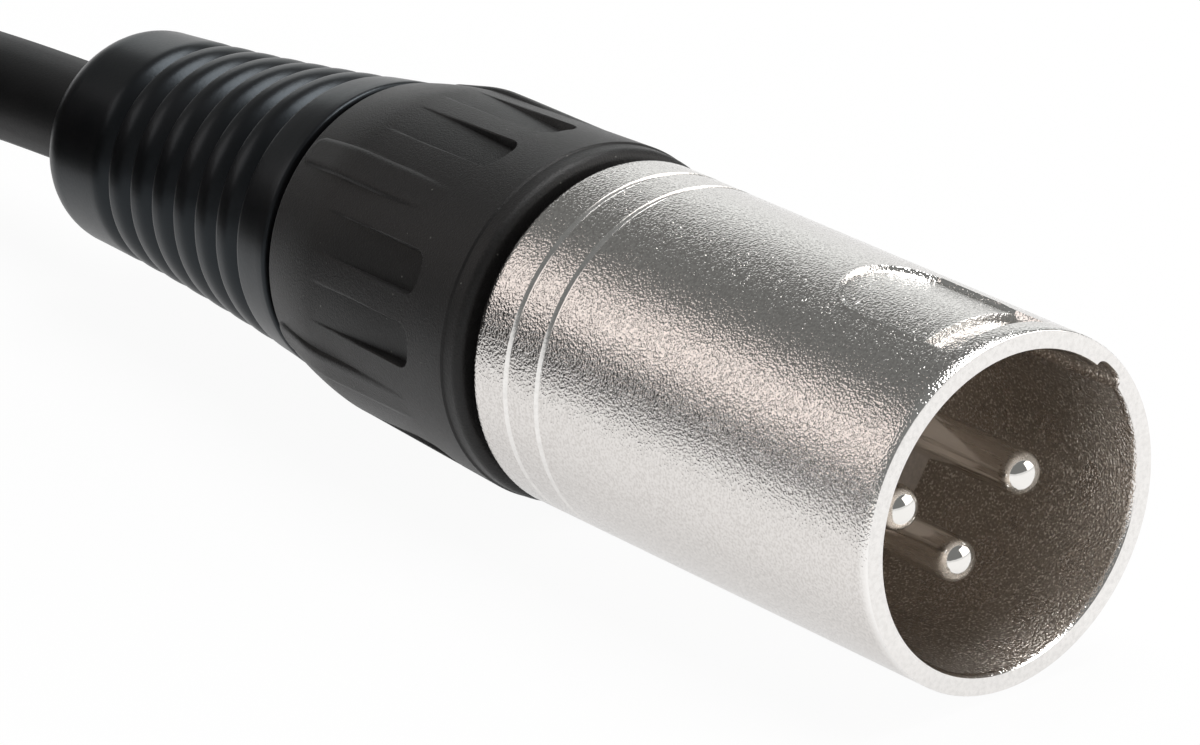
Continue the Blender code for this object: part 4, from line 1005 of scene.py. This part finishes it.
def ribbed_sleeve(prefix, shell_length, place, body, bend):
    """The rubber bend relief: a plain band, ramps that each end at a groove, and a dome."""
    neck_start = shell_length + NUT_LIP_GAP + NUT_LENGTH
    start = neck_start + SLEEVE_SEAM
    end = start + SLEEVE_LENGTH
    dome_start = SLEEVE_LENGTH - SLEEVE_END_ROUND
    outline = outline_behind(0, SLEEVE_FRONT)
    for index in range(GROOVE_COUNT):
        outline += outline_behind(SLEEVE_BAND + index * GROOVE_PITCH, SLEEVE_TOOTH)
    plain_start = 18.6 * MM
    outline += [(past, 0) for past in spaced(plain_start, dome_start, 0.6 * MM)]
    outside = [(start + past, sleeve_radius(past) + lift) for past, lift in outline]
    dome_height = sleeve_radius(dome_start) - SLEEVE_END_RADIUS
    arcs = 14
    for index in range(arcs + 1):
        turn = index * math.pi / 2 / arcs
        back = start + dome_start + SLEEVE_END_ROUND * math.sin(turn)
        outside.append((back, SLEEVE_END_RADIUS + dome_height * math.cos(turn)))
    bore = CABLE_RADIUS + SLEEVE_GAP
    mouth = bore - MOUTH_STEP
    neck_bore = NECK_RADIUS + SLEEVE_GAP
    neck_end = neck_start + NECK_LENGTH + 0.3 * MM
    inside = [
        (end, mouth + 0.15 * MM),
        (end - 0.1 * MM, mouth),
        (end - 0.8 * MM, mouth),
        (end - 0.9 * MM, bore),
        (neck_end, bore),
        (neck_end, neck_bore),
        (start, neck_bore),
    ]
    ring = [*outside, *inside]
    sleeve = skin(
        prefix + "_bend_relief",
        even_angles(144),
        lambda angle: ring,
        place,
        "black_rubber",
        body,
        bend,
    )
    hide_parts(prefix + "_sleeve")
    return sleeve


def plug_pins():
    """The turned contacts: a long shank, a ring edge and a dome, and the cup behind the insert."""
    shank = PIN_TIP[-1][1] * MM
    cup_length = 5.6 * MM
    cup_radius = 1.5 * MM
    cup_bore = 1.05 * MM
    for number in (1, 2, 3):
        low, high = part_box(f"male_pin_{number}")
        middle = (low + high) / 2
        front = PLUG_FACE.x - high.x
        rear = PLUG_FACE.x - low.x
        section = [
            *outline_behind(front, PIN_TIP),
            (rear - cup_length, shank),
            (rear - cup_length, cup_radius),
            (rear, cup_radius),
            (rear, cup_bore),
            (rear - 4.0 * MM, cup_bore),
            (rear - 4.5 * MM, 0),
        ]
        pin = skin(
            f"contact_pin_{number}",
            even_angles(48),
            lambda angle, section=section: section,
            Vector((PLUG_FACE.x, middle.y, middle.z)),
            "silvered_contact",
            "cable_assembly",
            sharp=35,
        )
        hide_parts(f"male_pin_{number}")


def socket_shell():
    """The socket connector's shell: a nose with its key, a full-size body and the latch's slot."""
    nose = 8.05 * MM
    wall = 0.75 * MM
    step = 14.5 * MM
    body = SHELL_RADIUS
    edge = 0.15 * MM
    bore_end = step + 1 * MM
    section = [
        (0, nose - 0.2 * MM),
        (0.06 * MM, nose - 0.06 * MM),
        (0.2 * MM, nose),
        (0.35 * MM, nose),
        (step - 0.25 * MM, nose),
        (step - 0.1 * MM, nose),
        (step, nose + 0.1 * MM),
        (step, body - 2 * edge),
        (step + 0.3 * edge, body - 0.8 * edge),
        (step + edge, body - 0.2 * edge),
        (step + 2 * edge, body),
        (step + 3 * edge, body),
    ]
    for from_rear in RING_GROOVES:
        groove = groove_outline(SOCKET_LENGTH - from_rear, SOCKET_GROOVE_HALF)
        section += [(back, body + lift) for back, lift in groove]
    section += [
        (SOCKET_LENGTH - 2 * edge, body),
        (SOCKET_LENGTH - edge, body),
        (SOCKET_LENGTH, body - edge),
        (SOCKET_LENGTH, THREAD_BORE),
        (bore_end, THREAD_BORE),
        (bore_end, nose - wall),
        (0, nose - wall),
    ]
    shell = skin(
        "socket_housing",
        even_angles(128),
        lambda angle: section,
        SOCKET_FACE,
        "satin_nickel",
        "cable_assembly",
    )
    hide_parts("female_shell")
    key = block_cutter("socket_key", *SOCKET_KEY)
    key.rotation_euler.x = KEY_ANGLE
    cut(shell, key, "UNION")
    cut(shell, block_cutter("slot_cutter", *LATCH_SLOT))
    cut(shell, block_cutter("window_cutter", *LATCH_WINDOW))
    return shell


def block_cutter(name, backs, sides, heights):
    """A block between spans behind, across and over the socket connector's face, for a Boolean."""
    bm = bmesh.new()
    size = (backs[1] - backs[0], sides[1] - sides[0], heights[1] - heights[0])
    middle = Vector((-sum(backs) / 2, sum(sides) / 2, sum(heights) / 2))
    placed = Matrix.Translation(middle) @ Matrix.Diagonal((*size, 1))
    bmesh.ops.create_cube(bm, size=1, matrix=placed)
    mesh = bpy.data.meshes.new(name)
    bm.to_mesh(mesh)
    bm.free()
    block = bpy.data.objects.new(name, mesh)
    bpy.context.scene.collection.objects.link(block)
    block.location = SOCKET_FACE
    return block


def cut(piece, block, operation="DIFFERENCE"):
    """Applies a Boolean with a block, and takes the block away."""
    modifier = piece.modifiers.new(block.name, "BOOLEAN")
    modifier.operation = operation
    modifier.solver = "EXACT"
    modifier.object = block
    bpy.context.view_layer.update()
    evaluated = piece.evaluated_get(bpy.context.evaluated_depsgraph_get())
    mesh = bpy.data.meshes.new_from_object(evaluated)
    piece.modifiers.clear()
    old = piece.data
    piece.data = mesh
    bpy.data.meshes.remove(old)
    bpy.data.objects.remove(block)


def band(line, half, thickness, closed):
    """Vertices and faces of a flat band along a line of ((u, v), outward) places, edges thinned."""
    edge_width = 0.3 * MM
    edge_thinning = 0.15
    rows = (
        (-half, edge_thinning),
        (-half + edge_width, 0.0),
        (half - edge_width, 0.0),
        (half, edge_thinning),
    )
    verts = []
    for (u, v), (out_u, out_v) in line:
        for side, thin in rows:
            verts.append((u + out_u * thin * thickness, side, v + out_v * thin * thickness))
        for side, thin in reversed(rows):
            thick = thickness * (1 - thin)
            verts.append((u + out_u * thick, side, v + out_v * thick))
    count = 2 * len(rows)
    total = len(line)
    faces = []
    for index in range(total if closed else total - 1):
        here = index * count
        there = (index + 1) % total * count
        for row in range(count):
            following = (row + 1) % count
            faces.append((here + row, here + following, there + following, there + row))
    if not closed:
        faces.append(tuple(reversed(range(count))))
        faces.append(tuple((total - 1) * count + row for row in range(count)))
    return verts, faces


def rounded_corners(inner, outer, bottom, top, corner):
    """A closed line of ((u, v), outward) places round a rectangle, from the top outer corner on."""
    arcs = 8
    line = []
    for u, v, first in (
        (outer - corner, top - corner, 0),
        (inner + corner, top - corner, 90),
        (inner + corner, bottom + corner, 180),
        (outer - corner, bottom + corner, 270),
    ):
        for index in range(arcs + 1):
            turn = (first + 90 * index / arcs) * DEGREE
            out = (math.cos(turn), math.sin(turn))
            line.append(((u + corner * out[0], v + corner * out[1]), out))
    return line


def tie_strap(number):
    """A woven strap round the wound cable, with its narrower end pressed over its start."""
    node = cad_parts[f"coil_tie_{number}"]
    around = TIE_ANGLES[number - 1]
    thickness = 0.9 * MM
    half = 5.4 * MM
    inner = 19.98 * MM
    outer = COIL_OUTER_RADIUS + 0.3 * MM
    bottom = thickness
    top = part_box(node.name)[1].z - thickness
    corner = CABLE_RADIUS + 0.3 * MM
    line = rounded_corners(inner, outer, bottom, top, corner)
    top_corner = line[: len(line) // 4]
    verts, faces = band(line, half, thickness, closed=True)

    flap_lift = 0.85 * thickness
    flap_down = 3 * MM
    flap_along = 9 * MM
    low_end = ((outer, bottom + corner + flap_down), (1, 0))
    top_end = ((outer - flap_along, top), (0, 1))
    flap = [
        ((u + flap_lift * out_u, v + flap_lift * out_v), (out_u, out_v))
        for (u, v), (out_u, out_v) in (low_end, *top_corner, top_end)
    ]
    flap_verts, flap_faces = band(flap, half - 0.5 * MM, 0.6 * MM, closed=False)
    faces += [tuple(index + len(verts) for index in face) for face in flap_faces]
    verts += flap_verts
    mesh = bpy.data.meshes.new("strap")
    mesh.from_pydata(verts, [], faces)
    strap = add_piece(
        f"tie_strap_{number}", mesh, Vector((0, 0, 0)), "woven_strap", "cable_assembly", sharp=40
    )
    turn = Matrix.Rotation(around, 4, "Z")
    strap.data.transform(Matrix.Translation((COIL_CENTRE.x, COIL_CENTRE.y, 0)) @ turn)
    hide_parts(node.name)
    return strap


def paper_white():
    """White to the eye, a little less in reflections, and diffuse to the light."""
    mirrored_share = 0.75
    seen_share = 0.95
    made = bpy.data.materials.new("paper_white")
    made.use_nodes = True
    tree = made.node_tree
    tree.nodes.clear()
    output = tree.nodes.new("ShaderNodeOutputMaterial")
    diffuse = add_node(made, "ShaderNodeBsdfDiffuse", Color=(0.85, 0.85, 0.85, 1))
    glow = add_node(made, "ShaderNodeEmission", Color=(1, 1, 1, 1), Strength=1.0)
    path = tree.nodes.new("ShaderNodeLightPath")
    mirrored = add_node(made, "ShaderNodeMath", operation="MAXIMUM")
    weaker = add_node(made, "ShaderNodeMath", operation="MULTIPLY")
    weaker.inputs[1].default_value = mirrored_share
    share = add_node(made, "ShaderNodeMath", operation="MULTIPLY_ADD")
    share.inputs[1].default_value = seen_share
    join(made, path.outputs["Is Glossy Ray"], mirrored.inputs[0])
    join(made, path.outputs["Is Transmission Ray"], mirrored.inputs[1])
    join(made, mirrored.outputs[0], weaker.inputs[0])
    join(made, path.outputs["Is Camera Ray"], share.inputs[0])
    join(made, weaker.outputs[0], share.inputs[2])
    mix = tree.nodes.new("ShaderNodeMixShader")
    join(made, share.outputs[0], mix.inputs[0])
    join(made, diffuse.outputs[0], mix.inputs[1])
    join(made, glow.outputs[0], mix.inputs[2])
    join(made, mix.outputs[0], output.inputs["Surface"])
    return made


def add_floor():
    """A round white floor with a low wall far behind the object, all round."""
    reach = 2.8
    rise = 0.35
    count = 96
    verts = []
    for height in (0, rise):
        for index in range(count):
            angle = math.tau * index / count
            verts.append((reach * math.cos(angle), reach * math.sin(angle), height))
    faces = [tuple(range(count))]
    for index in range(count):
        after = (index + 1) % count
        faces.append((index, after, count + after, count + index))
    mesh = bpy.data.meshes.new("floor")
    mesh.from_pydata(verts, [], faces)
    mesh.materials.append(paper_white())
    floor = bpy.data.objects.new("floor", mesh)
    bpy.context.scene.collection.objects.link(floor)


def add_world():
    world = bpy.data.worlds.new("studio")
    world.use_nodes = True
    background = world.node_tree.nodes["Background"]
    background.inputs["Color"].default_value = (0.5, 0.51, 0.5, 1)
    background.inputs["Strength"].default_value = 0.38
    bpy.context.scene.world = world


# Azimuth and elevation in degrees, distance, width and height, radiance and colour
LAMPS = {
    "key": (95, 76, 0.8, (0.5, 0.5), 7.0, (1, 1, 1)),
    "mouth": (44, 26, 0.6, (0.5, 0.4), 2.4, (1, 0.97, 0.94)),
    "left": (-140, 27, 0.6, (0.34, 0.26), 1.0, (1, 0.9, 0.86)),
    "back": (140, 20, 0.7, (0.5, 0.3), 0.85, (0.97, 1, 1)),
}


def add_lamp(name, azimuth, elevation, distance, size, radiance, color):
    """A soft box that faces the object; its power follows from how bright its face is."""
    flat = distance * math.cos(elevation * DEGREE)
    place = Vector(
        (
            flat * math.cos(azimuth * DEGREE),
            flat * math.sin(azimuth * DEGREE),
            distance * math.sin(elevation * DEGREE),
        )
    )
    data = bpy.data.lights.new(name, "AREA")
    data.shape = "RECTANGLE"
    data.size, data.size_y = size
    data.energy = radiance * math.pi * size[0] * size[1]
    data.color = color
    lamp = bpy.data.objects.new(name, data)
    bpy.context.scene.collection.objects.link(lamp)
    lamp.visible_camera = False
    lamp.location = place + Vector((0, 0, PLUG_FACE.z))
    lamp.rotation_euler = (-place).to_track_quat("-Z", "Y").to_euler()


def light_the_stage():
    bpy.context.scene.view_settings.view_transform = "Standard"
    add_world()
    for name, values in LAMPS.items():
        add_lamp(name, *values)


def main():
    """Dresses the model.  The ties and the far connector's shell go with the cord."""
    all_finishes()
    add_camera()
    cord, line = add_cord(FINISHES["cable_jacket"])
    add_floor()
    light_the_stage()
    dress_nodes()
    plug_shell()
    plug_pins()
    grip_nut("male", SHELL_LENGTH, PLUG_FACE, "male_nut_body", fine=0.4)
    ribbed_sleeve("male", SHELL_LENGTH, PLUG_FACE, "male_sleeve_body", bend=droop)
    pieces = [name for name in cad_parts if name.startswith(("female", "latch"))]
    pieces.append(socket_shell())
    pieces += grip_nut("female", SOCKET_LENGTH, SOCKET_FACE, "female_nut_body", fine=1.0)
    pieces.append(
        ribbed_sleeve("female", SOCKET_LENGTH, SOCKET_FACE, "female_sleeve_body", bend=None)
    )
    pieces += [tie_strap(number) for number in (1, 2)]


main()
